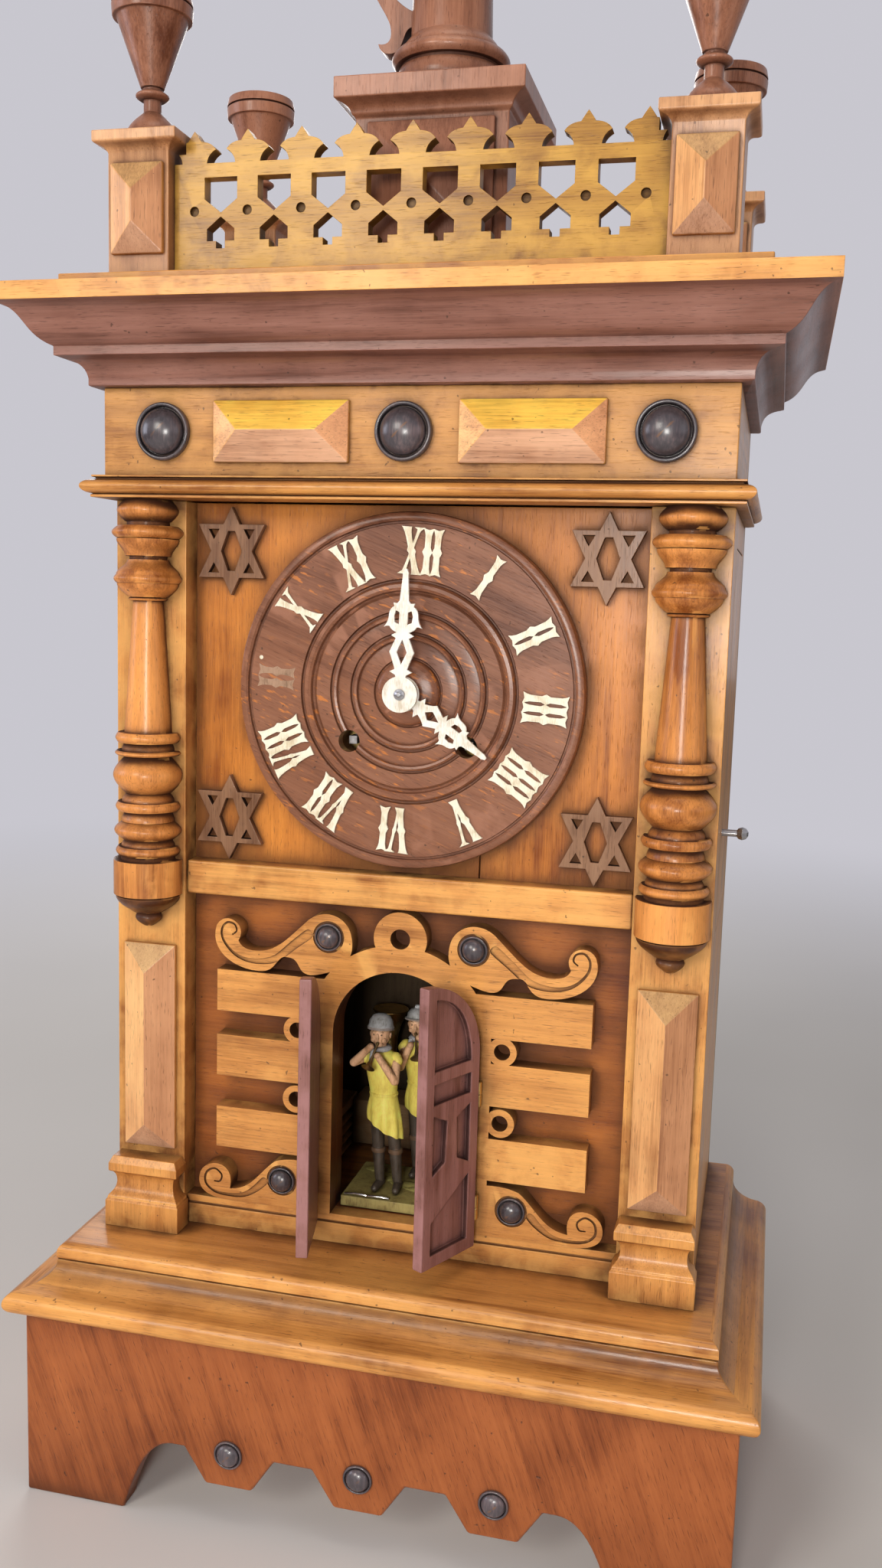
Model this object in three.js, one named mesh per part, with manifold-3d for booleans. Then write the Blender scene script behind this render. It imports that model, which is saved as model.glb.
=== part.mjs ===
// Trumpeter clock: a spring-driven mantel clock in a turned and fretted walnut case.
// Millimetres, +Z up, the front faces -Y, the origin lies under the middle of the base.
import * as THREE from 'three';
import { mergeVertices } from 'three/addons/utils/BufferGeometryUtils.js';
import Module from 'manifold-3d';

const wasm = await Module();
wasm.setup();

// Fits
const GAP = 0.3;             // pieces that sit against each other
const RUNNING = 0.5;         // a pivot in its hole, or a leaf in its doorway
const SINK = 1;              // how far an applied ornament reaches into its board
const MERGE = 1e-4;

// Case body
const CASE_W = 332;
const CASE_D = 184;          // face of the front posts to the back
const BASE_LEDGE = 27;       // the base stands this much further forward than sideways
const STILE_W = 41;
const STILE_T = 24;
const SIDE_T = 12;
const BACK_T = 10;
const PANEL_T = 10;
const PANEL_SET = 14;        // the panels lie this far behind the posts
const RAIL_T = 12;

// Heights of the stacked layers
const APRON_H = 107;
const MOULDING_H = 27;
const STEP_H = 9;
const ASTRAGAL_H = 12;
const FRIEZE_H = 45.5;
const CORNICE_H = 46.5;
const GALLERY_T = 6.5;

// How far each layer stands out from the case
const APRON_OUT = 29;
const TORUS_OUT = 38.5;
const STEP_OUT = 16.5;
const FRIEZE_LEDGE = 14;
const FRIEZE_T = 14;
const ASTRAGAL_OUT = 10;
const CORNICE_OUT = 42;
const GALLERY_OUT = 12;

// Plinth
const APRON_T = 14;
const TAB_Z = 24.5;
const APRON_ARCH_Z = 43.5;
const TAB_W = 27;
const TAB_PITCH = 73.5;
const TAB_SLOPE = 12.5;
const FOOT_W = 59.5;          // from the outer corner to where the apron's arch starts
const BUTTON_R = 8;
const BUTTON_H = 5;

// Front rails, arch and doors
const MID_RAIL_UP = 196;      // underside of the middle rail above the case floor
const MID_RAIL_H = 19;
const SILL_H = 17;
const SILL_T = 10.4;         // the shut leaves pass in front of the bottom rail
const ARCH_R = 37.5;
const CREST_CLEAR = 1.2;      // crest of the arch below the middle rail
const ARCH_BAND = 15;
const FRET_T = 11;
const DOOR_T = 6.5;
const DOOR_PIVOT = 9;        // pivot line outside the edge of the arch
const DOOR_DROP = 3;         // the leaves hang this far below the sill's top
const DOOR_FRAME = 7;        // plain margin round the sunk pattern of a leaf
const DOOR_SUNK = 3;         // depth of that pattern
const DOOR_WAIST = 0.428;    // height of the leaf's waist on its panel
const KNUCKLE_R = 2.2;
const KNUCKLE_H = 7;
const LEFT_OPEN = THREE.MathUtils.degToRad(78);
const RIGHT_OPEN = THREE.MathUtils.degToRad(63);

// Fretwork on the lower panel
const BAR_END = 18.5;         // ends of the bars from the posts
const BAR_H = 24;
const BAR_RISE = 30;          // top of the upper bars above the springing of the arch
const BAR_STEPS = [0, 0.357, 0.756];  // places of the bars on the way down to the sill
const RING_SET = 6;           // middle of the rings outside the band
const RING_R = 8;
const RING_HOLE = 4.5;
const CREST_R = 15;
const CREST_HOLE = 5.6;
const SCROLL_BOSS_R = 7.8;
const SCROLL_BOSS_H = 5;
const SCROLL_END = 13;        // tip of the upper scroll from the post
const SCROLL_DRAWN = 74.5;    // length of the upper scroll in its drawing
const SCROLL_ROOT = THREE.MathUtils.degToRad(49);  // where the upper scroll grows out of the arch
const ROOT_DEEP = 3;
const UPPER_BOSS = [3.5, 18.5];  // outside the arch, and below the middle rail
const LOWER_BOSS = [29, 16];     // outside the arch, and above the sill

// Columns and post ornament
const COLUMN_SHIFT = 0.2;    // column outside the middle of its post
const COLUMN_SET = 3;        // axis in front of the post's face
const COLUMN_H = 235.5;
const PILASTER_MARGIN = 5;   // round the raised panel under the column
const PILASTER_UP = 5;       // panel above the moulded foot of the post
const PILASTER_HEAD = 11;    // panel below the tip of the column
const POST_BASE_OUT = 12;
const POST_BASE_H = 41;
const EDGE = 2.5;            // square edge of a hipped panel
const HIP = 8;               // rise of a hipped panel

// Stars
const STAR_R = 24;            // points above and below its middle
const STAR_ARM = 19.2;        // half the width of each of its two triangles
const STAR_BASE = 14.4;       // base of each triangle from the middle
const STAR_BAR = 2.7;
const STAR_T = 5;
const STAR_IN = 22;           // middle of a star from the post
const STAR_TOP = 25.8;        // upper stars below the astragal
const STAR_FOOT = 24.4;       // lower stars above the middle rail

// Frieze ornament
const FRIEZE_BOSS_IN = 34.5;  // outer bosses from the corners of the frieze
const FRIEZE_BOSS_R = 15;
const FRIEZE_BOSS_H = 10;
const FRIEZE_PANEL_W = 74;
const FRIEZE_PANEL_H = 31.5;

// Gallery
const PEDESTAL_IN = 21.7;    // middle of a pedestal from the side of the case
const PEDESTAL_W = 34;
const PEDESTAL_H = 74;
const PEDESTAL_CAP_W = 46.5;
const PEDESTAL_COVE = 10;    // height of the cap and the hollow under it
const PEDESTAL_PANEL_H = 45;
const PEDESTAL_SET = 13.25;  // front pedestals behind the face of the frieze
const PEDESTAL_REAR = 31.75; // rear pedestals in front of the back
const FINIAL_H = 72;
const CREST_PITCH = 29;
const BALUSTER_T = 8;
const BALUSTER_SET = 7;      // behind the face of the front pedestals
const BALUSTER_RAIL_H = 59;
const CREST_H = 15.8;
const TOWER_W = 82;
const TOWER_D = 78;
const TOWER_H = 107;
const TOWER_SLAB_H = 10.5;
const TOWER_SLAB_OUT = 9.5;
const TOWER_FORWARD = 12.5;  // tower in front of the middle of the gallery
const TANKARD_R = 22;
const TANKARD_H = 120;

// Dial and hands
const DIAL_FOOT = 4;         // rim of the dial above the middle rail
const DIAL_HEAD = 3.5;       // and below the astragal
const DIAL_R = 95;
const DIAL_T = 10;
const DIAL_BORE = 6;
const WIND_X = 32.5;
const WIND_DROP = 27.6;
const WIND_HOLE = 6;
const HAND_T = 1.6;
const MINUTE_LEN = 65;
const HOUR_LEN = 56;
const HAND_BOSS_R = 9.5;
const MINUTE_ANGLE = THREE.MathUtils.degToRad(-1.7);
const HOUR_ANGLE = THREE.MathUtils.degToRad(-124.5);
const HUB_RISE = 1.25;       // hub of the dial, in thicknesses of the dial
const HAND_CLEAR = 6.9;      // hour hand in front of the hub
const HAND_GAP = 2.4;        // minute hand in front of the hour hand
const ARBOR_R = 2.2;
const PIPE_R = 4;
const NUT_R = 2.9;

// Movement
const SHELF_CLEAR = 3.5;      // great wheel above the shelf
const SHELF_T = 10;
const SHELF_BEHIND = 1;       // shelf behind the pin barrel
const PLATE_W = 150;
const PLATE_HEAD = 25;        // plates above the axis of the fly
const PLATE_T = 4;
const PLATE_SET = 11.25;      // front plate behind the dial panel
const PLATE_GAP = 60;         // front of one plate to the front of the other
const PILLAR_R = 4;
const WIND_ARBOR_R = 3;
const WIND_SQUARE = 4.4;
const SPRING_R = 21;
const SPRING_L = 26;
const WHEEL_T = 4;
const GREAT_TEETH = 36;
const PINION_TEETH = 6;
const FLY_UP = 40;
const FLY_SPAN = 34;
const FLY_W = 22;
const FLY_T = 1.6;
const FLY_SET = 22;           // vane behind the front plate
const PENDULUM_BEHIND = 22;   // pendulum behind the front of the back plate
const PENDULUM_L = 190;
const HANGER_DROP = 14;      // suspension pin below the top of the plates
const BOB_R = 22;
const BOB_T = 8;
const PIN_BARREL_R = 21;
const PIN_BARREL_L = 112;
const PIN_BARREL_BEHIND = 3;  // pin barrel behind the plane of the pendulum
const PIN_BARREL_UP = 13;     // pin barrel above the shelf

// Wind supply and figures
const BELLOWS_X = 68;
const BELLOWS_FRONT = 17.25;  // behind the lower panel
const BELLOWS_BACK = 14.75;   // in front of the back board
const BELLOWS_H = 26;
const BELLOWS_BOARD_T = 6;
const CHEST_SIDE = 14;        // wind chest from the right side
const CHEST_BACK = 3.75;      // and from the back board
const CHEST_D = 27;
const CHEST_H = 30;
const HORN_COUNT = 5;
const HORN_R = 12;
const PLATFORM_EDGE = 2.5;    // platform inside the doorway
const PLATFORM_D = 50;
const PLATFORM_T = 6;
const FIGURE_H = 104;
const LEFT_FIGURE = [-15, 17];   // across, and behind the platform's front edge
const RIGHT_FIGURE = [1, 41];

// Side door
const SIDE_STILE_FRONT = 25.25;  // side left in front of the door
const SIDE_STILE_BACK = 20.75;   // and behind it
const SIDE_DOOR_HEAD = 17.5;     // and above it
const SIDE_DOOR_H = 208;
const CATCH_UP = 54;         // catch above the foot of the side door
const SIDE_DOOR_CLEAR = 1.2; // free edge of the side door, so that it can swing past its frame
const CATCH_IN = 11;         // catch from the free edge of the side door
const CATCH_TONGUE = 20;
const CATCH_R = 2;
const CATCH_OUT = 11;

// Levels and planes worked out from the sizes above
const HALF = CASE_W / 2;
const BACK = (CASE_D + BASE_LEDGE + TORUS_OUT) / 2;
const POST_Y = BACK - CASE_D;
const POST_BACK = POST_Y + STILE_T;
const PANEL_Y = POST_Y + PANEL_SET;
const PANEL_BACK = PANEL_Y + PANEL_T;
const INNER = HALF - SIDE_T;
const OPEN_X = HALF - STILE_W;
const BASE_Y = POST_Y - BASE_LEDGE;
const FRIEZE_Y = POST_Y - FRIEZE_LEDGE;
const BACK_IN = BACK - BACK_T;
const MOULDING_Z = APRON_H;
const STEP_Z = MOULDING_Z + MOULDING_H;
const FLOOR_Z = STEP_Z + STEP_H;
const MID_RAIL_Z = FLOOR_Z + MID_RAIL_UP;
const RAIL_TOP = MID_RAIL_Z + MID_RAIL_H;
const DIAL_Z = RAIL_TOP + DIAL_FOOT + DIAL_R;
const CASE_H = MID_RAIL_UP + MID_RAIL_H + DIAL_FOOT + 2 * DIAL_R + DIAL_HEAD;
const ASTRAGAL_Z = FLOOR_Z + CASE_H;
const FRIEZE_Z = ASTRAGAL_Z + ASTRAGAL_H;
const CORNICE_Z = FRIEZE_Z + FRIEZE_H;
const GALLERY_Z = CORNICE_Z + CORNICE_H;
const DECK_Z = GALLERY_Z + GALLERY_T;
const SILL_TOP = FLOOR_Z + SILL_H;
const PLATFORM_Z = SILL_TOP + GAP;
const RAIL_Y = PANEL_Y - RAIL_T;
const FRET_Y = PANEL_Y - FRET_T;
const WIND_Z = DIAL_Z - WIND_DROP;
const CENTRE_DIST = Math.hypot(WIND_X, WIND_DROP);
const MODULE_MM = 2 * CENTRE_DIST / (GREAT_TEETH + PINION_TEETH);
const TOOTH_OUT = 0.7;       // tip of a tooth outside the pitch circle, in modules
const GREAT_R = (GREAT_TEETH / 2 + TOOTH_OUT) * MODULE_MM;
const SHELF_TOP = WIND_Z - GREAT_R - SHELF_CLEAR;
const SHELF_Z = SHELF_TOP - SHELF_T;
const FLY_Z = DIAL_Z + FLY_UP;
const PLATE_TOP = FLY_Z + PLATE_HEAD;
const PIN_BARREL_Z = SHELF_TOP + PIN_BARREL_UP + PIN_BARREL_R;
const CREST_Z = MID_RAIL_Z - CREST_CLEAR - CREST_R;
const ARCH_SPRING_Z = CREST_Z - CREST_HOLE / 2 - SINK - ARCH_BAND - ARCH_R;
const SCROLL_STRETCH = (OPEN_X - SCROLL_END - ARCH_R) / SCROLL_DRAWN;
const UPPER_BOSS_Z = MID_RAIL_Z - UPPER_BOSS[1];
const LOWER_BOSS_Z = SILL_TOP + LOWER_BOSS[1];
const COLUMN_X = HALF - STILE_W / 2 + COLUMN_SHIFT;
const COLUMN_FOOT_Z = ASTRAGAL_Z - COLUMN_H;
const FRIEZE_BOSS_X = HALF - FRIEZE_BOSS_IN;
const PEDESTAL_X = HALF - PEDESTAL_IN;
const PEDESTAL_FRONT_Y = FRIEZE_Y + PEDESTAL_SET;
const PEDESTAL_BACK_Y = BACK - PEDESTAL_REAR;
const TOWER_Y = (PEDESTAL_FRONT_Y + PEDESTAL_BACK_Y) / 2 - TOWER_FORWARD;
const HOUR_LIFT = HUB_RISE * DIAL_T + HAND_CLEAR;
const MINUTE_LIFT = HOUR_LIFT + HAND_T + HAND_GAP;
const PLATE_FRONT_Y = PANEL_BACK + PLATE_SET;
const PLATE_BACK_Y = PLATE_FRONT_Y + PLATE_GAP;
const PENDULUM_Y = PLATE_BACK_Y + PENDULUM_BEHIND;
const PIN_BARREL_Y = PENDULUM_Y + PIN_BARREL_BEHIND + PIN_BARREL_R;
const SHELF_FRONT_Y = Math.max(PANEL_BACK, POST_BACK);
const SHELF_BACK_Y = PIN_BARREL_Y + PIN_BARREL_R + SHELF_BEHIND;
const BELLOWS_FRONT_Y = PANEL_BACK + BELLOWS_FRONT;
const BELLOWS_BACK_Y = BACK_IN - BELLOWS_BACK;
const CHEST_RIGHT_X = INNER - CHEST_SIDE;
const CHEST_BACK_Y = BACK_IN - CHEST_BACK;
const CHEST_FRONT_Y = CHEST_BACK_Y - CHEST_D;
const SIDE_DOOR_FRONT_Y = POST_BACK + SIDE_STILE_FRONT;
const SIDE_DOOR_BACK_Y = BACK_IN - SIDE_STILE_BACK;
const SIDE_DOOR_Z = ASTRAGAL_Z - SIDE_DOOR_HEAD - SIDE_DOOR_H;
const CATCH_Z = SIDE_DOOR_Z + CATCH_UP;
const CATCH_Y = SIDE_DOOR_FRONT_Y + SIDE_DOOR_CLEAR + CATCH_IN;

// Facets
const SEG_FINE = 20;
const SEG = 10;
const SEG_SMALL = 8;
const SEG_TINY = 6;

// Finishes
const finish = (color, roughness, metalness = 0) => (
  new THREE.MeshStandardMaterial({ color, roughness, metalness })
);
const walnut = () => finish(0xa8682c, 0.5);
const darkWalnut = () => finish(0x6d3d2a, 0.55);
const dialWood = () => finish(0x5a3a30, 0.6);
const doorWood = () => finish(0x6a4450, 0.55);
const ebonised = () => finish(0x2e2a30, 0.35);
const bone = () => finish(0xf3ecd8, 0.4);
const brass = () => finish(0xb08d3c, 0.35, 1);
const steel = () => finish(0x8d8f92, 0.35, 1);
const pine = () => finish(0xb98f5a, 0.7);
const leather = () => finish(0x8a6a4a, 0.8);
const paint = () => finish(0xd8c45a, 0.6);
const olive = () => finish(0x6b6238, 0.8);

const clock = new THREE.Group();

// Adds one named piece to the clock, or to a turned group inside it
function add(name, geometry, material, parent = clock) {
  const mesh = new THREE.Mesh(geometry, material);
  mesh.name = name;
  parent.add(mesh);
  return mesh;
}

// Closed solid for joining and cutting, turned inside out if its faces point in
function solid(geometry) {
  const bare = geometry.clone();
  bare.deleteAttribute('normal');
  bare.deleteAttribute('uv');
  const merged = mergeVertices(bare, MERGE);
  const source = merged.index.array;
  const position = merged.attributes.position;
  const corner = [new THREE.Vector3(), new THREE.Vector3(), new THREE.Vector3()];
  const triangles = [];
  let volume = 0;
  for (let i = 0; i < source.length; i += 3) {
    const [a, b, c] = [source[i], source[i + 1], source[i + 2]];
    if (a === b || b === c || c === a) continue;
    triangles.push([a, b, c]);
    [a, b, c].forEach((v, k) => corner[k].fromBufferAttribute(position, v));
    volume += corner[0].dot(corner[1].clone().cross(corner[2]));
  }
  const ordered = volume < 0 ? triangles.map(([a, b, c]) => [a, c, b]) : triangles;
  return new wasm.Manifold(new wasm.Mesh({
    numProp: 3,
    vertProperties: new Float32Array(position.array),
    triVerts: new Uint32Array(ordered.flat()),
  }));
}

function geometryOf(manifold) {
  const mesh = manifold.getMesh();
  const geometry = new THREE.BufferGeometry();
  geometry.setAttribute('position', new THREE.BufferAttribute(mesh.vertProperties, 3));
  geometry.setIndex(new THREE.BufferAttribute(mesh.triVerts, 1));
  geometry.computeVertexNormals();
  return geometry;
}

const fuse = (...geometries) => (
  geometryOf(geometries.map(solid).reduce((whole, piece) => whole.add(piece)))
);
const carve = (geometry, ...tools) => (
  geometryOf(tools.map(solid).reduce((whole, tool) => whole.subtract(tool), solid(geometry)))
);

// Plain board between two opposite corners
function board(x0, x1, y0, y1, z0, z1) {
  const box = new THREE.BoxGeometry(x1 - x0, y1 - y0, z1 - z0);
  return box.translate((x0 + x1) / 2, (y0 + y1) / 2, (z0 + z1) / 2);
}

// Flat sawn plate: the outline is drawn in X and Z, and the front face lies at y
function plate(shape, y, thickness, curveSegments = 6) {
  const { shape: rim, holes } = shape.extractPoints(curveSegments);
  const sheet = (points, front, depth) => {
    const geometry = new THREE.ExtrudeGeometry(new THREE.Shape(points), { depth, bevelEnabled: false });
    return geometry.rotateX(Math.PI / 2).translate(0, front + depth, 0);
  };
  const piercings = holes.map((points) => sheet(points, y - SINK, thickness + 2 * SINK));
  return carve(sheet(rim, y, thickness), ...piercings);
}

const outline = (points) => new THREE.Shape(points.map(([x, z]) => new THREE.Vector2(x, z)));

function disc(x, z, radius) {
  const shape = new THREE.Shape();
  shape.absarc(x, z, radius, 0, 2 * Math.PI);
  return shape;
}

// Round bar along Y between two depths
function rod(x, z, radius, y0, y1, segments = SEG_SMALL) {
  const bar = new THREE.CylinderGeometry(radius, radius, y1 - y0, segments);
  return bar.translate(0, (y0 + y1) / 2, 0).translate(x, 0, z);
}

// Upright round bar
function post(x, y, radius, z0, z1, segments = SEG_SMALL, topRadius = radius) {
  const bar = new THREE.CylinderGeometry(topRadius, radius, z1 - z0, segments);
  return bar.rotateX(Math.PI / 2).translate(x, y, (z0 + z1) / 2);
}

// Turned member forms: how the radius runs from one end of the member to the other
const FORMS = {
  line: (t) => t,
  bead: (t) => Math.sin(Math.PI * t),
  swell: (t) => Math.sin(Math.PI * t / 2),
  hollow: (t) => 1 - Math.cos(Math.PI * t / 2),
  ogee: (t) => (1 - Math.cos(Math.PI * t)) / 2,
};
const STEP_RISE = 8;         // a curved member taller than this gets four facets, not two

// Profile points from a stack of members [form, height, first radius, second radius]
function turning(members) {
  const points = [];
  let height = 0;
  for (const [form, rise, from, to] of members) {
    const curved = rise > STEP_RISE ? 4 : 2;
    const steps = form === 'line' ? 1 : curved;
    for (let i = 0; i <= steps; i += 1) {
      const t = i / steps;
      points.push(new THREE.Vector2(from + (to - from) * FORMS[form](t), height + rise * t));
    }
    height += rise;
  }
  return [new THREE.Vector2(0, 0), ...points, new THREE.Vector2(0, height)];
}

const turned = (members, segments = SEG) => (
  new THREE.LatheGeometry(turning(members), segments).rotateX(Math.PI / 2)
);
// The same turning, lying with its foot on a board and its nose towards the front
const turnedForward = (members, segments = SEG) => (
  new THREE.LatheGeometry(turning(members), segments).rotateX(Math.PI)
);

// Stack of rectangles, each [x0, x1, y0, y1, z], joined by flat sides
function loft(levels) {
  const positions = [];
  const index = [];
  levels.forEach(([x0, x1, y0, y1, z], k) => {
    positions.push(x0, y0, z, x1, y0, z, x1, y1, z, x0, y1, z);
    if (k === 0) return;
    for (let i = 0; i < 4; i += 1) {
      const [a, b] = [4 * (k - 1) + i, 4 * (k - 1) + (i + 1) % 4];
      index.push(a, b, b + 4, a, b + 4, a + 4);
    }
  });
  const top = 4 * (levels.length - 1);
  index.push(0, 2, 1, 0, 3, 2, top, top + 1, top + 2, top, top + 2, top + 3);
  const geometry = new THREE.BufferGeometry();
  geometry.setAttribute('position', new THREE.Float32BufferAttribute(positions, 3));
  geometry.setIndex(index);
  return geometry;
}

// Board with a moulded front and ends: the profile holds [out, height] points
function moulded(profile, halfWidth, front, back, base) {
  const levels = profile.map(([out, z]) => (
    [-(halfWidth + out), halfWidth + out, front - out, back + CORNICE_OUT + out, base + z]
  ));
  const reach = 2 * halfWidth + 2 * CORNICE_OUT;
  const height = profile[profile.length - 1][1];
  const behind = board(-reach, reach, back, back + reach, base - SINK, base + height + SINK);
  return carve(loft(levels), behind);
}

// Moulded board opened out to a three-sided frame
function mouldedFrame(profile, halfWidth, front, back, base, wall) {
  const height = profile[profile.length - 1][1];
  const inside = halfWidth - wall;
  const room = board(-inside, inside, front + wall, back + wall, base - SINK, base + height + SINK);
  return carve(moulded(profile, halfWidth, front, back, base), room);
}

// Samples of a curve as moulding points, without its first point
function curvePoints(curve, count) {
  return curve.getPoints(count).slice(1).map((p) => [p.x, p.y]);
}
const cubic = (...points) => (
  new THREE.CubicBezierCurve(...points.map(([x, y]) => new THREE.Vector2(x, y)))
);

// Raised panel with hipped sides, centred at x and z with its back at y
function hipped(x, y, z, width, height, edge = EDGE, rise = HIP) {
  const [w, h] = [width / 2, height / 2];
  const ridge = Math.abs(h - w);
  const [rx, rz] = h > w ? [0, ridge] : [ridge, 0];
  const rect = (depth) => [-w, depth, -h, w, depth, -h, w, depth, h, -w, depth, h];
  const crown = -(edge + rise);
  const positions = [...rect(0), ...rect(-edge), -rx, crown, -rz, rx, crown, rz];
  const tall = [5, 9, 6, 8, 9, 5, 6, 9, 7, 7, 9, 8, 7, 8, 4, 4, 8, 5];
  const wide = [4, 8, 5, 8, 9, 5, 5, 9, 6, 6, 9, 7, 9, 8, 7, 7, 8, 4];
  const index = [0, 1, 2, 0, 2, 3, ...(h > w ? tall : wide)];
  for (let i = 0; i < 4; i += 1) {
    const j = (i + 1) % 4;
    index.push(i, i + 4, j + 4, i, j + 4, j);
  }
  const geometry = new THREE.BufferGeometry();
  geometry.setAttribute('position', new THREE.Float32BufferAttribute(positions, 3));
  geometry.setIndex(index);
  return geometry.translate(x, y, z);
}

// Plinth

function apronShape() {
  const half = [];
  for (const middle of [TAB_PITCH, 0]) {
    const [a, b] = [middle + TAB_W / 2, middle - TAB_W / 2];
    half.push([a + TAB_SLOPE, APRON_ARCH_Z], [a, TAB_Z], [b, TAB_Z], [b - TAB_SLOPE, APRON_ARCH_Z]);
  }
  const middleTab = half.splice(-4);
  const right = [...half, middleTab[0], middleTab[1]];
  const edge = HALF + APRON_OUT;
  const shoulder = TAB_PITCH + TAB_W / 2 + 2 * TAB_SLOPE;
  const foot = edge - FOOT_W;
  const shape = new THREE.Shape();
  shape.moveTo(-edge, APRON_H);
  shape.lineTo(-edge, 0);
  shape.lineTo(-foot, 0);
  shape.quadraticCurveTo(-shoulder - TAB_SLOPE, APRON_ARCH_Z, -shoulder + TAB_SLOPE / 2, APRON_ARCH_Z);
  right.forEach(([x, z]) => shape.lineTo(-x, z));
  right.reverse().forEach(([x, z]) => shape.lineTo(x, z));
  shape.lineTo(shoulder - TAB_SLOPE / 2, APRON_ARCH_Z);
  shape.quadraticCurveTo(shoulder + TAB_SLOPE, APRON_ARCH_Z, foot, 0);
  shape.lineTo(edge, 0);
  shape.lineTo(edge, APRON_H);
  return shape;
}

function buildPlinth() {
  const front = BASE_Y - APRON_OUT;
  const outer = HALF + APRON_OUT;
  const button = [
    ['line', SINK, BUTTON_R, BUTTON_R],
    ['swell', BUTTON_H, BUTTON_R, BUTTON_R * 0.5],
  ];
  const buttons = [-TAB_PITCH, 0, TAB_PITCH].map((x) => (
    turnedForward(button, SEG).translate(x, front + SINK, APRON_ARCH_Z)
  ));
  add('plinth_front', fuse(plate(apronShape(), front, APRON_T), ...buttons), darkWalnut());
  for (const [name, side] of [['plinth_left', -1], ['plinth_right', 1]]) {
    const [a, b] = [side * outer, side * (outer - APRON_T)].sort((p, q) => p - q);
    add(name, board(a, b, front + APRON_T + GAP, BACK, 0, APRON_H), darkWalnut());
  }
  const nose = TORUS_OUT - APRON_OUT;
  const torus = cubic(
    [APRON_OUT + 1, 0.5], [TORUS_OUT + 2, 1], [TORUS_OUT + 2, 13], [APRON_OUT + 2, 14],
  );
  const scotia = cubic([APRON_OUT + 2, 14], [STEP_OUT + nose, 14.5], [STEP_OUT + 1, 18], [STEP_OUT, 25]);
  const profile = [
    [APRON_OUT + 1, 0],
    ...curvePoints(torus, 6),
    ...curvePoints(scotia, 5),
    [STEP_OUT, MOULDING_H],
  ];
  const widest = Math.max(...profile.map(([out]) => out));
  const scaled = profile.map(([out, z]) => [out > APRON_OUT + 2 ? out - widest + TORUS_OUT : out, z]);
  const wall = 14;
  add('base_moulding', mouldedFrame(scaled, HALF, BASE_Y, BACK, MOULDING_Z, wall), walnut());
  const step = [[STEP_OUT - 1, 0], [STEP_OUT, 1], ...curvePoints(
    cubic([STEP_OUT, 4], [STEP_OUT, 7], [STEP_OUT - 3, STEP_H], [STEP_OUT - 5, STEP_H]), 4)];
  add('base_step', moulded(step, HALF, BASE_Y, BACK, STEP_Z), walnut());
}

// Case

function archShape(radius, bottom) {
  const shape = new THREE.Shape();
  shape.moveTo(-radius, bottom);
  shape.lineTo(radius, bottom);
  shape.absarc(0, ARCH_SPRING_Z, radius, 0, Math.PI);
  return shape;
}

function starPiece(x, z) {
  const notch = STAR_ARM * (STAR_R - STAR_BASE) / (STAR_R + STAR_BASE);
  const waist = STAR_ARM * STAR_R / (STAR_R + STAR_BASE);
  const at = (points) => outline(points.map(([a, b]) => [x + a, z + b]));
  const quarter = [[0, STAR_R], [notch, STAR_BASE], [STAR_ARM, STAR_BASE], [waist, 0]];
  const half = [...quarter, ...quarter.slice(0, 3).reverse().map(([a, b]) => [a, -b])];
  const shape = at([...half, ...half.slice(1, -1).reverse().map(([a, b]) => [-a, b])]);
  const high = STAR_BASE - STAR_BAR;
  const heart = [[2, high - 1], [waist / 2, 0], [2, 1 - high]];
  shape.holes.push(at([...heart, ...heart.slice().reverse().map(([a, b]) => [-a, b])]));
  for (const [a, b] of [[1, 1], [1, -1], [-1, 1], [-1, -1]]) {
    shape.holes.push(at([
      [a * (waist - 4.8), b * high], [a * (waist + 1.2), b * high], [a * (waist - 1.8), b * (high - 5.3)],
    ]));
  }
  return plate(shape, PANEL_Y + SINK - STAR_T, STAR_T);
}

function buildStile(name, side) {
  const x = side * (HALF - STILE_W / 2);
  const body = board(x - STILE_W / 2, x + STILE_W / 2, POST_Y, POST_BACK, FLOOR_Z, ASTRAGAL_Z);
  const [low, high] = [FLOOR_Z + POST_BASE_H + PILASTER_UP, COLUMN_FOOT_Z - PILASTER_HEAD];
  const width = STILE_W - 2 * PILASTER_MARGIN;
  const panel = hipped(x, POST_Y + SINK, (low + high) / 2, width, high - low, EDGE + SINK);
  const profile = [
    [2, 0], [2, 14], [1, 15], [-4, 20], [-5, 27], [-1, 31], [0, 32], [0, POST_BASE_H],
  ];
  const half = STILE_W / 2;
  const levels = profile.map(([out, z]) => (
    [x - half - out, x + half + out, POST_Y - POST_BASE_OUT - out, POST_Y + SINK, FLOOR_Z + z]
  ));
  add(name, fuse(body, panel, loft(levels)), walnut());
}

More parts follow.
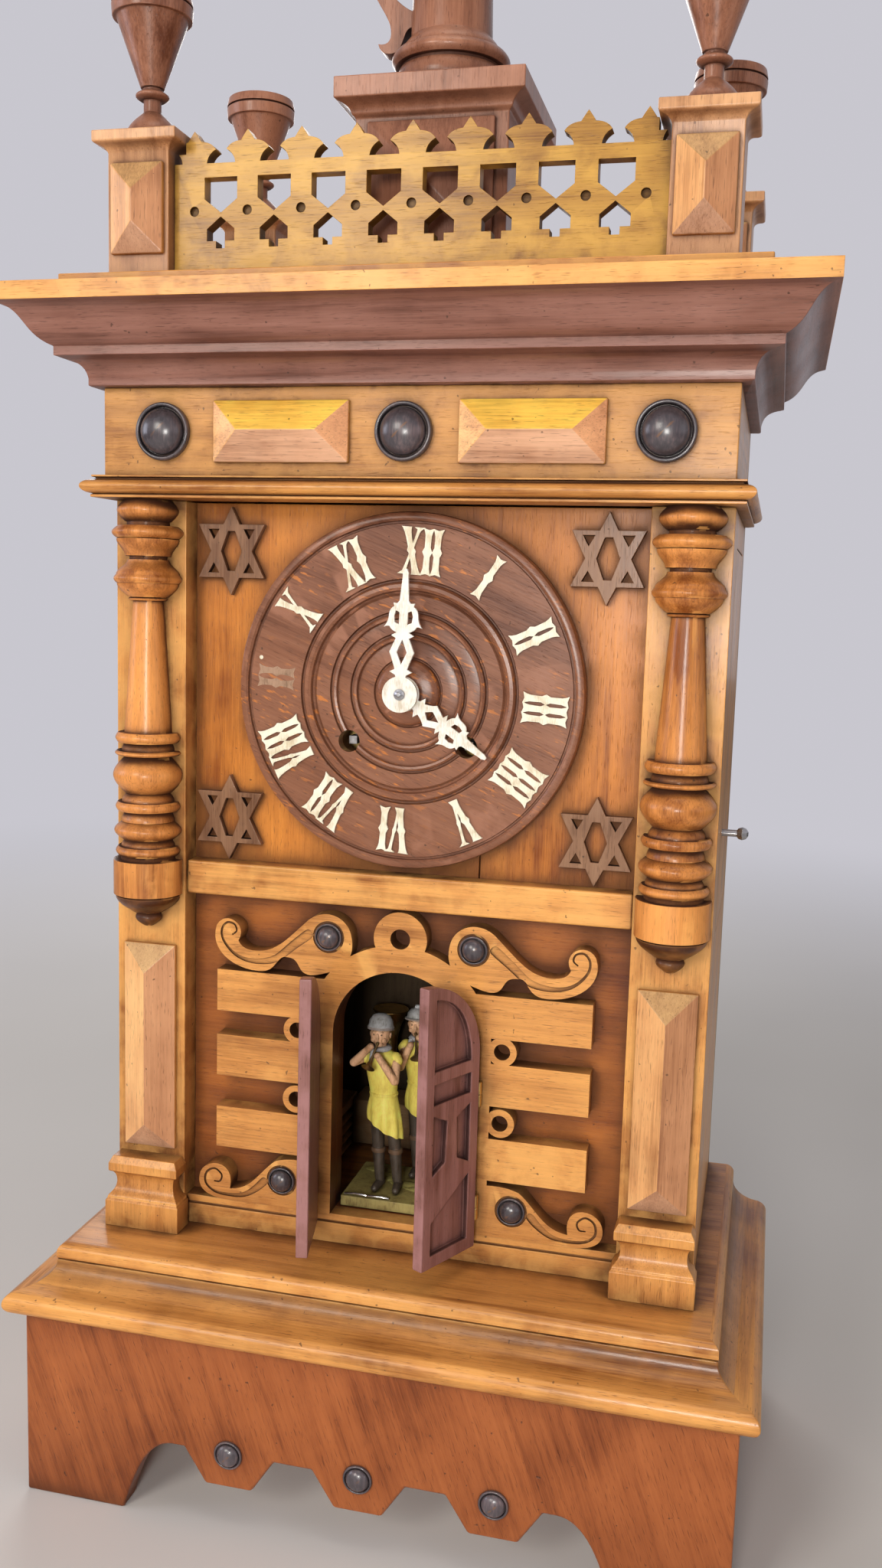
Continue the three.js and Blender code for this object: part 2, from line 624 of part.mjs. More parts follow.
function buildColumn(name, side) {
  const plain = [
    ['swell', 6, 3, 8], ['line', 3, 8, 7.5], ['swell', 4, 7.5, 15], ['line', 6, 17, 17],
    ['line', 19.5, 19.3, 19.3], ['line', 2.5, 17, 17], ['line', 5, 18, 18], ['line', 4, 15, 15],
    ['bead', 10, 16, 18.8], ['line', 6, 15.5, 15.5], ['line', 5, 18, 18], ['line', 5, 14.5, 14.5],
    ['bead', 20, 15.5, 19.3], ['line', 1, 15, 15], ['line', 2.5, 18.3, 18.3], ['line', 4.5, 14.5, 14.5],
    ['line', 5.5, 18, 18],
  ];
  const capital = [
    ['line', 2, 10.5, 10.5], ['swell', 7.5, 12, 17], ['line', 4.5, 18.5, 18.5], ['ogee', 8, 18, 12.5],
    ['line', 2, 12, 12], ['ogee', 9, 13.2, 17.5], ['bead', 7, 17.5, 19.6], ['line', 2.5, 13.5, 13.5],
    ['bead', 11.5, 13.5, 16.8],
  ];
  const used = [...plain, ...capital].reduce((sum, member) => sum + member[1], 0);
  const shaft = ['line', COLUMN_H - used, 13.2, 8.3];
  const column = turned([...plain, shaft, ...capital]);
  column.translate(side * COLUMN_X, POST_Y - COLUMN_SET, COLUMN_FOOT_Z);
  const reach = STILE_W;
  const behind = board(
    side * COLUMN_X - reach, side * COLUMN_X + reach, POST_Y, POST_Y + reach,
    COLUMN_FOOT_Z - reach, ASTRAGAL_Z + reach,
  );
  add(name, carve(column, behind), walnut());
}

function buildCase() {
  add('left_side', board(-HALF, -INNER, POST_BACK, BACK_IN, FLOOR_Z, ASTRAGAL_Z), walnut());
  const doorTop = SIDE_DOOR_Z + SIDE_DOOR_H;
  const right = carve(
    board(INNER, HALF, POST_BACK, BACK_IN, FLOOR_Z, ASTRAGAL_Z),
    board(INNER - SINK, HALF + SINK, SIDE_DOOR_FRONT_Y, SIDE_DOOR_BACK_Y, SIDE_DOOR_Z, doorTop),
  );
  add('right_side', right, walnut());
  const upper = HALF - FRIEZE_T - GAP;
  add('back_board', plate(outline([
    [-HALF, FLOOR_Z], [HALF, FLOOR_Z], [HALF, CORNICE_Z], [upper, CORNICE_Z], [upper, GALLERY_Z],
    [-upper, GALLERY_Z], [-upper, CORNICE_Z], [-HALF, CORNICE_Z],
  ]), BACK_IN, BACK_T), pine());
  buildStile('left_stile', -1);
  buildStile('right_stile', 1);
  buildColumn('left_column', -1);
  buildColumn('right_column', 1);

  const split = MID_RAIL_Z + MID_RAIL_H / 2;
  const stars = [-1, 1].flatMap((side) => (
    [ASTRAGAL_Z - STAR_TOP, RAIL_TOP + STAR_FOOT].map((z) => starPiece(side * (OPEN_X - STAR_IN), z))
  ));
  const dialBoard = fuse(board(-OPEN_X, OPEN_X, PANEL_Y, PANEL_BACK, split, ASTRAGAL_Z), ...stars);
  const bores = [[0, DIAL_Z, DIAL_BORE], [-WIND_X, WIND_Z, WIND_HOLE], [WIND_X, WIND_Z, WIND_HOLE]];
  const drills = bores.map(([x, z, r]) => rod(x, z, r, PANEL_Y - SINK, PANEL_BACK + SINK, SEG));
  add('dial_panel', carve(dialBoard, ...drills), walnut());
  const lower = outline([[-OPEN_X, FLOOR_Z], [OPEN_X, FLOOR_Z], [OPEN_X, split], [-OPEN_X, split]]);
  lower.holes.push(archShape(ARCH_R, SILL_TOP));
  add('lower_panel', plate(lower, PANEL_Y, PANEL_T), walnut());
  add('mid_rail', board(-OPEN_X, OPEN_X, RAIL_Y, PANEL_Y, MID_RAIL_Z, RAIL_TOP), walnut());
  add('bottom_rail', board(-OPEN_X, OPEN_X, PANEL_Y - SILL_T, PANEL_Y, FLOOR_Z, SILL_TOP), walnut());
}

// Fretwork round the arch

// Place on a scroll, drawn outwards from the edge of the arch and stretched to fit the panel
const scrollX = (side, out) => side * (ARCH_R + out * SCROLL_STRETCH);

function upperScroll(side) {
  const x = (out) => scrollX(side, out);
  const z = (up) => UPPER_BOSS_Z + up;
  const rootR = ARCH_R + ARCH_BAND - ROOT_DEEP;
  const root = [side * rootR * Math.cos(SCROLL_ROOT), ARCH_SPRING_Z + rootR * Math.sin(SCROLL_ROOT)];
  const shape = new THREE.Shape();
  shape.moveTo(...root);
  shape.quadraticCurveTo(x(-11.5), z(-9.5), x(-10), z(0));
  shape.bezierCurveTo(x(-8.5), z(13), x(7.5), z(18), x(17.5), z(6.5));
  shape.bezierCurveTo(x(28.5), z(-4), x(34.5), z(-11.5), x(46.5), z(-11.5));
  shape.quadraticCurveTo(x(54.5), z(-11.5), x(56.5), z(-6.5));
  shape.bezierCurveTo(x(50.5), z(3.5), x(64.5), z(10.5), x(69.5), z(1.5));
  shape.bezierCurveTo(x(SCROLL_DRAWN), z(-12.5), x(60.5), z(-23), x(44.5), z(-23));
  shape.bezierCurveTo(x(32.5), z(-23), x(35.5), z(-13.5), x(27.5), z(-13.5));
  shape.bezierCurveTo(x(18.5), z(-13.5), x(22.5), z(-22.5), x(13.5), z(-22.5));
  shape.quadraticCurveTo(x(8.5), z(-22.5), ...root);
  return shape;
}

function lowerScroll(side) {
  const x = (out) => scrollX(side, out);
  const z = (up) => SILL_TOP + up;
  const shape = new THREE.Shape();
  shape.moveTo(x(7.5), z(0));
  shape.lineTo(x(7.5), z(28));
  shape.quadraticCurveTo(x(22.5), z(31), x(33), z(27));
  shape.bezierCurveTo(x(42.5), z(20), x(46.5), z(8), x(60.5), z(7));
  shape.bezierCurveTo(x(56.5), z(26), x(78.5), z(24), x(79.5), z(12));
  shape.bezierCurveTo(x(80.5), z(2), x(70.5), z(0), x(60.5), z(0));
  return shape;
}

function buildFret() {
  const band = archShape(ARCH_R + ARCH_BAND, SILL_TOP);
  const pieces = [plate(band, FRET_Y, FRET_T)];
  const holes = [plate(archShape(ARCH_R, SILL_TOP - SINK), FRET_Y - SINK, FRET_T + 2 * SINK)];
  const through = (x, z, r) => rod(x, z, r, FRET_Y - SINK, PANEL_Y + SINK, SEG);
  pieces.push(plate(disc(0, CREST_Z, CREST_R), FRET_Y, FRET_T, SEG_SMALL));
  holes.push(through(0, CREST_Z, CREST_HOLE));
  const fall = ARCH_SPRING_Z - SILL_TOP;
  const tops = BAR_STEPS.map((step) => ARCH_SPRING_Z + BAR_RISE - step * fall);
  const ringX = ARCH_R + ARCH_BAND + RING_SET;
  const boss = [
    ['line', SINK, SCROLL_BOSS_R, SCROLL_BOSS_R],
    ['swell', SCROLL_BOSS_H, SCROLL_BOSS_R, 0],
  ];
  for (const side of [-1, 1]) {
    for (const top of tops) {
      const [a, b] = [side * ARCH_R, side * (OPEN_X - BAR_END)].sort((p, q) => p - q);
      pieces.push(board(a, b, FRET_Y, PANEL_Y, top - BAR_H, top));
    }
    for (const k of [0, 1]) {
      const z = (tops[k] - BAR_H + tops[k + 1]) / 2;
      pieces.push(plate(disc(side * ringX, z, RING_R), FRET_Y, FRET_T, 6));
      holes.push(through(side * ringX, z, RING_HOLE));
    }
    pieces.push(plate(upperScroll(side), FRET_Y, FRET_T, 3));
    pieces.push(plate(lowerScroll(side), FRET_Y, FRET_T, 3));
    for (const [out, z] of [[UPPER_BOSS[0], UPPER_BOSS_Z], [LOWER_BOSS[0], LOWER_BOSS_Z]]) {
      pieces.push(turnedForward(boss, SEG_SMALL).translate(scrollX(side, out), FRET_Y + SINK, z));
    }
    const pivot = side * (ARCH_R + DOOR_PIVOT);
    for (const z of knuckleLevels()) {
      const y = FRET_Y - GAP - DOOR_T / 2;
      pieces.push(post(pivot, y, KNUCKLE_R, z + KNUCKLE_H / 2 + GAP, z + KNUCKLE_H * 1.5, 8));
      const [lo, hi] = [z + KNUCKLE_H / 2 + GAP, z + KNUCKLE_H * 1.5];
      pieces.push(board(pivot - 1, pivot + 1, y, FRET_Y + SINK, lo, hi));
    }
  }
  const whole = pieces.map(solid).reduce((sum, piece) => sum.add(piece));
  const pierced = holes.map(solid).reduce((rest, hole) => rest.subtract(hole), whole);
  add('arch_fret', geometryOf(pierced), walnut());
}

// Heights of the two hinge knuckles on each door
function knuckleLevels() {
  const low = SILL_TOP + 2 * KNUCKLE_H;
  return [low, ARCH_SPRING_Z - 4 * KNUCKLE_H];
}

// One leaf, drawn shut with its pivot line at x = 0, then swung open
function buildDoor(name, side, angle) {
  const reach = ARCH_R + DOOR_PIVOT;
  const bottom = SILL_TOP - DOOR_DROP;
  const edge = KNUCKLE_R + RUNNING;
  const free = reach - GAP;
  const radius = free - edge;
  const toward = (x) => -side * x;
  const leaf = new THREE.Shape();
  leaf.moveTo(toward(edge), bottom);
  leaf.lineTo(toward(free), bottom);
  leaf.absarc(toward(free), ARCH_SPRING_Z, radius, Math.PI / 2, side > 0 ? 0 : Math.PI, side > 0);
  const [frame, deep] = [DOOR_FRAME, DOOR_SUNK];
  const [a, b] = [edge + frame, free - frame];
  const pocket = (points) => plate(outline(points), -DOOR_T / 2 - SINK, deep + SINK);
  const arch = new THREE.Shape();
  arch.moveTo(toward(a), ARCH_SPRING_Z - 2);
  arch.lineTo(toward(b), ARCH_SPRING_Z - 2);
  arch.lineTo(toward(b), ARCH_SPRING_Z + radius - frame);
  arch.quadraticCurveTo(toward(a + 2), ARCH_SPRING_Z + radius - frame - 4, toward(a), ARCH_SPRING_Z - 2);
  const high = ARCH_SPRING_Z - 2 - frame;
  const low = bottom + frame;
  const middle = (a + b) / 2;
  const waist = low + DOOR_WAIST * (high - low);
  const pockets = [
    plate(arch, -DOOR_T / 2 - SINK, deep + SINK, 6),
    pocket([[toward(a), high - 11], [toward(b), high - 11], [toward(b), high], [toward(a), high]]),
    pocket([[toward(a), waist + 4], [toward(middle - 5), waist + 9], [toward(middle - 4), high - 22],
      [toward(a), high - 17]]),
    pocket([[toward(b), waist + 4], [toward(b), high - 17], [toward(middle + 4), high - 22],
      [toward(middle + 5), waist + 9]]),
    pocket([[toward(a), low], [toward(b), low], [toward(b), waist - 22], [toward(a), waist - 3]]),
  ];
  const knuckles = knuckleLevels().flatMap((z) => [
    post(0, 0, KNUCKLE_R, z - KNUCKLE_H / 2, z + KNUCKLE_H / 2, 8),
    board(Math.min(0, toward(edge + 1)), Math.max(0, toward(edge + 1)), -1, 1,
      z - KNUCKLE_H / 2, z + KNUCKLE_H / 2),
  ]);
  const flat = carve(plate(leaf, -DOOR_T / 2, DOOR_T, 8), ...pockets);
  const swing = new THREE.Group();
  swing.position.set(side * reach, FRET_Y - GAP - DOOR_T / 2, 0);
  swing.rotation.z = side * angle;
  clock.add(swing);
  add(name, fuse(flat, ...knuckles), doorWood(), swing);
}

// Frieze, astragal, cornice and gallery floor

function buildEntablature() {
  const bead = cubic([2, 0], [ASTRAGAL_OUT + 3, 2], [ASTRAGAL_OUT + 3, 9], [2, 11]);
  const astragal = [[2, 0], ...curvePoints(bead, 6), [1, ASTRAGAL_H]];
  const widest = Math.max(...astragal.map(([out]) => out));
  const shaped = astragal.map(([out, z]) => [out > 2 ? out * ASTRAGAL_OUT / widest : out, z]);
  add('astragal', mouldedFrame(shaped, HALF, FRIEZE_Y, BACK_IN, ASTRAGAL_Z, FRIEZE_T), walnut());

  const plain = mouldedFrame([[0, 0], [0, FRIEZE_H]], HALF, FRIEZE_Y, BACK_IN, FRIEZE_Z, FRIEZE_T);
  const middle = FRIEZE_Z + FRIEZE_H / 2;
  const panels = [-1, 1].map((side) => hipped(
    side * FRIEZE_BOSS_X / 2, FRIEZE_Y + SINK, middle, FRIEZE_PANEL_W, FRIEZE_PANEL_H, EDGE + SINK,
  ));
  add('frieze', fuse(plain, ...panels), walnut());
  const boss = [
    ['line', 2, FRIEZE_BOSS_R, FRIEZE_BOSS_R],
    ['line', 2, FRIEZE_BOSS_R, FRIEZE_BOSS_R * 0.93],
    ['swell', FRIEZE_BOSS_H - 4, FRIEZE_BOSS_R * 0.8, 0],
  ];
  const names = { frieze_boss_left: -1, frieze_boss_centre: 0, frieze_boss_right: 1 };
  for (const [name, side] of Object.entries(names)) {
    const dome = turnedForward(boss).translate(side * FRIEZE_BOSS_X, FRIEZE_Y, middle);
    add(name, geometryOf(solid(dome)), ebonised());
  }

  const cove = cubic([6, 4], [7, 10], [10, 12.5], [17, 13.5]);
  const cyma = cubic([19, 18.5], [31, 23], [29, 35], [CORNICE_OUT - 2, 37]);
  const cornice = [
    [5, 0], [6, 0.5], [6, 4], ...curvePoints(cove, 4), [19, 14], [19, 18.5], ...curvePoints(cyma, 6),
    [CORNICE_OUT, 37.5], [CORNICE_OUT, CORNICE_H],
  ];
  add('cornice', mouldedFrame(cornice, HALF, FRIEZE_Y, BACK, CORNICE_Z, FRIEZE_T), darkWalnut());
  const reach = HALF + GALLERY_OUT;
  const front = FRIEZE_Y - GALLERY_OUT - FRIEZE_T;
  add('gallery_floor', board(-reach, reach, front, BACK, GALLERY_Z, DECK_Z), walnut());
}

// Gallery: pedestals, finials, balustrade, tower

function buildPedestal(name, x, y) {
  const half = PEDESTAL_W / 2;
  const cap = PEDESTAL_CAP_W / 2 - half;
  const profile = [
    [0, 0], [0, PEDESTAL_H - PEDESTAL_COVE], [1.5, PEDESTAL_H - 0.75 * PEDESTAL_COVE],
    [cap - 1.5, PEDESTAL_H - 0.55 * PEDESTAL_COVE], [cap, PEDESTAL_H - 0.5 * PEDESTAL_COVE],
    [cap, PEDESTAL_H],
  ];
  const levels = profile.map(([out, z]) => (
    [x - half - out, x + half + out, y - half - out, y + half + out, DECK_Z + z]
  ));
  const panelZ = DECK_Z + PEDESTAL_H / 2 - 1;
  const panel = hipped(x, y - half + SINK, panelZ, PEDESTAL_W - 5, PEDESTAL_PANEL_H, EDGE + SINK, 5);
  add(name, fuse(loft(levels), panel), walnut());
}

function buildFinial(name, x, y) {
  const cup = FINIAL_H - 38;
  const members = [
    ['line', 2, 15, 15], ['hollow', 12, 13.5, 4.6], ['line', 6, 4.6, 4.6], ['bead', 4.5, 6, 8.8],
    ['line', 1.5, 5, 5], ['line', cup, 6, 18.5], ['line', 6, 20.5, 21], ['line', 1, 19.5, 19.5],
    ['line', 5, 21, 20],
  ];
  const finial = turned(members, SEG_SMALL).translate(x, y, DECK_Z + PEDESTAL_H);
  add(name, geometryOf(solid(finial)), darkWalnut());
}

function buildBalustrade() {
  const half = PEDESTAL_X - PEDESTAL_W / 2 - GAP;
  const rail = DECK_Z + BALUSTER_RAIL_H;
  const shape = new THREE.Shape();
  shape.moveTo(-half, DECK_Z);
  shape.lineTo(half, DECK_Z);
  shape.lineTo(half, rail);
  const count = Math.round(2 * half / CREST_PITCH);
  const crests = Array.from({ length: count }, (_, k) => ((count - 1) / 2 - k) * CREST_PITCH);
  const lobe = CREST_PITCH * 0.4;
  for (const x of crests) {
    shape.lineTo(x + 6.8, rail);
    shape.quadraticCurveTo(x + 7.2, rail + 4.2, Math.min(x + lobe, half), rail + 6.6);
    shape.quadraticCurveTo(x + 9.4, rail + 10.2, x + 3.6, rail + 10.6);
    shape.quadraticCurveTo(x + 2.4, rail + 12.6, x, rail + CREST_H);
    shape.quadraticCurveTo(x - 2.4, rail + 12.6, x - 3.6, rail + 10.6);
    shape.quadraticCurveTo(x - 9.4, rail + 10.2, Math.max(x - lobe, -half), rail + 6.6);
    shape.quadraticCurveTo(x - 7.2, rail + 4.2, x - 6.8, rail);
  }
  shape.lineTo(-half, rail);
  const [wide, narrow] = [0.307 * CREST_PITCH, 0.26 * CREST_PITCH];
  for (const crest of crests.slice(1)) {
    const x = crest + CREST_PITCH / 2;
    shape.holes.push(outline([
      [x - wide, rail - 7], [x + wide, rail - 7], [x + wide, rail - 17.6], [x, rail - 24.4],
      [x - wide, rail - 17.6],
    ]));
    shape.holes.push(outline([
      [x, rail - 26.4], [x + narrow, rail - 32.4], [x + narrow, rail - 38.3], [x + 2.5, rail - 38.3],
      [x + 2.5, rail - 42], [x - 2.5, rail - 42], [x - 2.5, rail - 38.3], [x - narrow, rail - 38.3],
      [x - narrow, rail - 32.4],
    ]));
  }
  const front = PEDESTAL_FRONT_Y - PEDESTAL_W / 2 + BALUSTER_SET;
  const cap = PEDESTAL_X - PEDESTAL_CAP_W / 2 - GAP;
  const coveZ = DECK_Z + PEDESTAL_H - PEDESTAL_COVE - GAP;
  const reliefs = [[-PEDESTAL_X, -cap], [cap, PEDESTAL_X]].map(([a, b]) => (
    board(a, b, front - SINK, front + BALUSTER_T + SINK, coveZ, coveZ + PEDESTAL_H)
  ));
  add('balustrade', carve(plate(shape, front, BALUSTER_T, 2), ...reliefs), walnut());
}

function buildTower() {
  const [w, d] = [TOWER_W / 2, TOWER_D / 2];
  const slab = TOWER_H - TOWER_SLAB_H;
  const profile = [
    [3, 0], [3, 8], [0, 11], [0, slab - 8], [2, slab - 6], [5, slab - 1], [TOWER_SLAB_OUT, slab],
    [TOWER_SLAB_OUT, TOWER_H],
  ];
  const levels = profile.map(([out, z]) => (
    [-w - out, w + out, TOWER_Y - d - out, TOWER_Y + d + out, DECK_Z + z]
  ));
  const panel = hipped(0, TOWER_Y - d + SINK, DECK_Z + 53, TOWER_W - 14, 66, EDGE + SINK, 5);
  add('central_pedestal', fuse(loft(levels), panel), darkWalnut());

  const r = TANKARD_R;
  const lid = 26;
  const foot = [
    ['line', 3, r + 7, r + 7], ['bead', 12, r + 6, r + 7.5], ['line', 1.5, r + 5, r + 5],
    ['bead', 7, r + 8, r + 10], ['hollow', 8, r + 5, r],
  ];
  const top = [
    ['bead', 5, r - 1, r + 1.5], ['line', 1, r - 2, r - 2], ['bead', 3, r - 0.5, r + 1],
    ['swell', 9, r - 1, 6], ['line', 2, 3.5, 3.5], ['bead', 6, 3.5, 5.5],
  ];
  const used = [...foot, ...top].reduce((sum, member) => sum + member[1], 0);
  const base = DECK_Z + TOWER_H;
  const body = turned([...foot, ['line', TANKARD_H - used, r, r - 1.5], ...top]);
  body.translate(0, TOWER_Y, base);
  const handle = new THREE.Shape();
  const [low, high] = [base + 36, base + TANKARD_H - lid - 10];
  handle.moveTo(-r + 2, high);
  handle.bezierCurveTo(-r - 12, high + 8, -r - 26, high, -r - 25, high - 14);
  handle.bezierCurveTo(-r - 24, low + 20, -r - 12, low + 10, -r - 11, low + 2);
  handle.bezierCurveTo(-r - 10, low - 5, -r - 14, low - 6, -r - 18, low - 5);
  handle.quadraticCurveTo(-r - 16, low - 12, -r - 8, low - 10);
  handle.bezierCurveTo(-r - 3, low - 8, -r - 4, low + 4, -r + 2, low + 2);
  handle.lineTo(-r + 2, low + 10);
  handle.bezierCurveTo(-r - 8, low + 14, -r - 17, low + 26, -r - 18, high - 14);
  handle.bezierCurveTo(-r - 18, high - 6, -r - 10, high - 2, -r + 2, high - 8);
  const strap = plate(handle, TOWER_Y - 5, 10, 3);
  add('tankard', fuse(body, strap), darkWalnut());
}

function buildGallery() {
  const places = { front: PEDESTAL_FRONT_Y, rear: PEDESTAL_BACK_Y };
  for (const [place, y] of Object.entries(places)) {
    for (const [hand, side] of [['left', -1], ['right', 1]]) {
      buildPedestal(`${place}_${hand}_pedestal`, side * PEDESTAL_X, y);
      buildFinial(`${place}_${hand}_finial`, side * PEDESTAL_X, y);
    }
  }
  buildBalustrade();
  buildTower();
}

// Dial and hands

function buildDial() {
  const profile = [
    [DIAL_BORE, 0], [93, 0], [95, 2], [95, 8], [93.5, 10], [91, 10], [89.5, 8.2], [58.5, 8.2], [57, 10],
    [54.5, 10], [53, 8], [42, 7.4], [40.7, 9], [39, 7.2], [31, 7.4], [29.7, 9.2], [28, 7.2], [18.5, 7.6],
    [17, 10.5], [14, 12], [DIAL_BORE, 12.5], [DIAL_BORE, 0],
  ].map(([r, h]) => new THREE.Vector2(r > DIAL_BORE ? r * DIAL_R / 95 : r, h * DIAL_T / 10));
  const turnedDial = new THREE.LatheGeometry(profile, SEG_FINE).rotateX(Math.PI);
  turnedDial.translate(0, PANEL_Y, DIAL_Z);
  const drills = [-1, 1].map((side) => (
    rod(side * WIND_X, WIND_Z, WIND_HOLE, PANEL_Y - 2 * DIAL_T, PANEL_Y + SINK, SEG)
  ));
  add('dial', carve(turnedDial, ...drills), dialWood());
}

// Fretted bone hand, drawn pointing up from its boss
function handShape(length) {
  const k = length / MINUTE_LEN;
  const half = [
    [2.4, 0.95 * HAND_BOSS_R], [5.5, 12], [3, 14], [5, 23 * k], [3.6, 29 * k], [6, 31 * k], [4.2, 33 * k],
    [9.5, 35 * k], [7.6, 42 * k], [5.5, 46 * k], [2.6, 46.5 * k], [1.6, length - 3], [0.8, length],
  ];
  const left = half.map(([x, z]) => [-x, z]).reverse();
  const shape = outline([...half, ...left]);
  const slit = outline([[0, 17], [1.6, 23 * k], [0, 28 * k], [-1.6, 23 * k]]);
  const slots = [-1, 1].map((side) => outline([
    [side * 3.4, 37 * k], [side * 5, 37 * k], [side * 4.4, 42 * k], [side * 3.4, 42 * k],
  ]));
  shape.holes.push(slit, ...slots);
  return shape;
}

function buildHands() {
  const hole = ARBOR_R + GAP;
  const minuteY = PANEL_Y - MINUTE_LIFT - HAND_T;
  const hourY = PANEL_Y - HOUR_LIFT - HAND_T;
  const lay = (name, geometry, angle) => {
    const swing = new THREE.Group();
    swing.position.set(0, 0, DIAL_Z);
    swing.rotation.y = -angle;
    clock.add(swing);
    add(name, geometry, bone(), swing);
  };
  const minute = fuse(
    plate(handShape(MINUTE_LEN), minuteY, HAND_T),
    plate(disc(0, 0, HAND_BOSS_R), minuteY, HAND_T, SEG_SMALL),
  );
  lay('minute_hand', carve(minute, rod(0, 0, hole, minuteY - SINK, minuteY + HAND_T + SINK)), MINUTE_ANGLE);
  const pipeBack = PLATE_FRONT_Y - RUNNING;
  const hour = fuse(
    plate(handShape(HOUR_LEN), hourY, HAND_T),
    plate(disc(0, 0, HAND_BOSS_R), hourY, HAND_T, SEG_SMALL),
    rod(0, 0, PIPE_R, hourY, pipeBack),
  );
  lay('hour_hand', carve(hour, rod(0, 0, hole, hourY - SINK, pipeBack + SINK)), HOUR_ANGLE);
  const nut = [['line', 0.8, NUT_R, NUT_R], ['swell', 1.2, NUT_R, 1]];
  const nutY = minuteY - GAP;
  add('hand_nut', geometryOf(solid(turnedForward(nut, SEG_SMALL).translate(0, nutY, DIAL_Z))), steel());
}

// Movement

// Toothed wheel centred at x and z with its front at y; the first tooth points along the given angle
function wheel(x, z, y, teeth, angle) {
  const pitch = MODULE_MM * teeth / 2;
  const step = 2 * Math.PI / teeth;
  const points = [];
  const flank = [[-0.3, -1], [-0.12, TOOTH_OUT], [0.12, TOOTH_OUT], [0.3, -1]];
  for (let k = 0; k < teeth; k += 1) {
    for (const [turn, out] of flank) {
      const a = angle + (k + turn) * step;
      const r = pitch + out * MODULE_MM;
      points.push([x + r * Math.cos(a), z + r * Math.sin(a)]);
    }
  }
  return plate(outline(points), y, WHEEL_T);
}

function buildTrain() {
  const wheelY = PLATE_BACK_Y - WHEEL_T - 4;
  const toCentre = Math.atan2(WIND_DROP, -WIND_X);
  const bore = WIND_ARBOR_R + RUNNING;
  const tip = PANEL_Y;
  const back = PLATE_BACK_Y + PLATE_T;
  for (const [train, side] of [['going', 1], ['music', -1]]) {
    const x = side * WIND_X;
    const square = board(
      x - WIND_SQUARE / 2, x + WIND_SQUARE / 2, tip, PANEL_BACK,
      WIND_Z - WIND_SQUARE / 2, WIND_Z + WIND_SQUARE / 2,
    );
    const springY = PLATE_FRONT_Y + PLATE_T + 2;
    const spring = rod(x, WIND_Z, SPRING_R, springY, springY + SPRING_L, SEG);
    const arbor = rod(x, WIND_Z, WIND_ARBOR_R, PANEL_BACK - SINK, back);
    add(`${train}_winding_arbor`, fuse(square, arbor, spring), steel());
  }
  const great = carve(
    wheel(WIND_X, WIND_Z, wheelY, GREAT_TEETH, toCentre),
    rod(WIND_X, WIND_Z, bore, wheelY - SINK, wheelY + WHEEL_T + SINK),
  );
  add('going_great_wheel', great, brass());
  const musicY = wheelY - 2 * WHEEL_T;
  const music = carve(
    rod(-WIND_X, WIND_Z, SPRING_R + 6, musicY, musicY + WHEEL_T, SEG_FINE),
    rod(-WIND_X, WIND_Z, bore, musicY - SINK, musicY + WHEEL_T + SINK),
  );
  add('music_great_wheel', music, brass());
  const half = Math.PI / PINION_TEETH;
  const pinion = wheel(0, DIAL_Z, wheelY, PINION_TEETH, toCentre + Math.PI + half);
  const arborFront = PANEL_Y - MINUTE_LIFT - HAND_T;
  add('centre_arbor', fuse(rod(0, DIAL_Z, ARBOR_R, arborFront, back), pinion), steel());

  const vaneY = PLATE_FRONT_Y + FLY_SET;
  const [span, thick] = [FLY_SPAN / 2, FLY_T / 2];
  const vane = board(-span, span, vaneY, vaneY + FLY_W, FLY_Z - thick, FLY_Z + thick);
  const staff = rod(0, FLY_Z, ARBOR_R, PLATE_FRONT_Y, back);
  add('fly', fuse(vane, staff), brass());
}

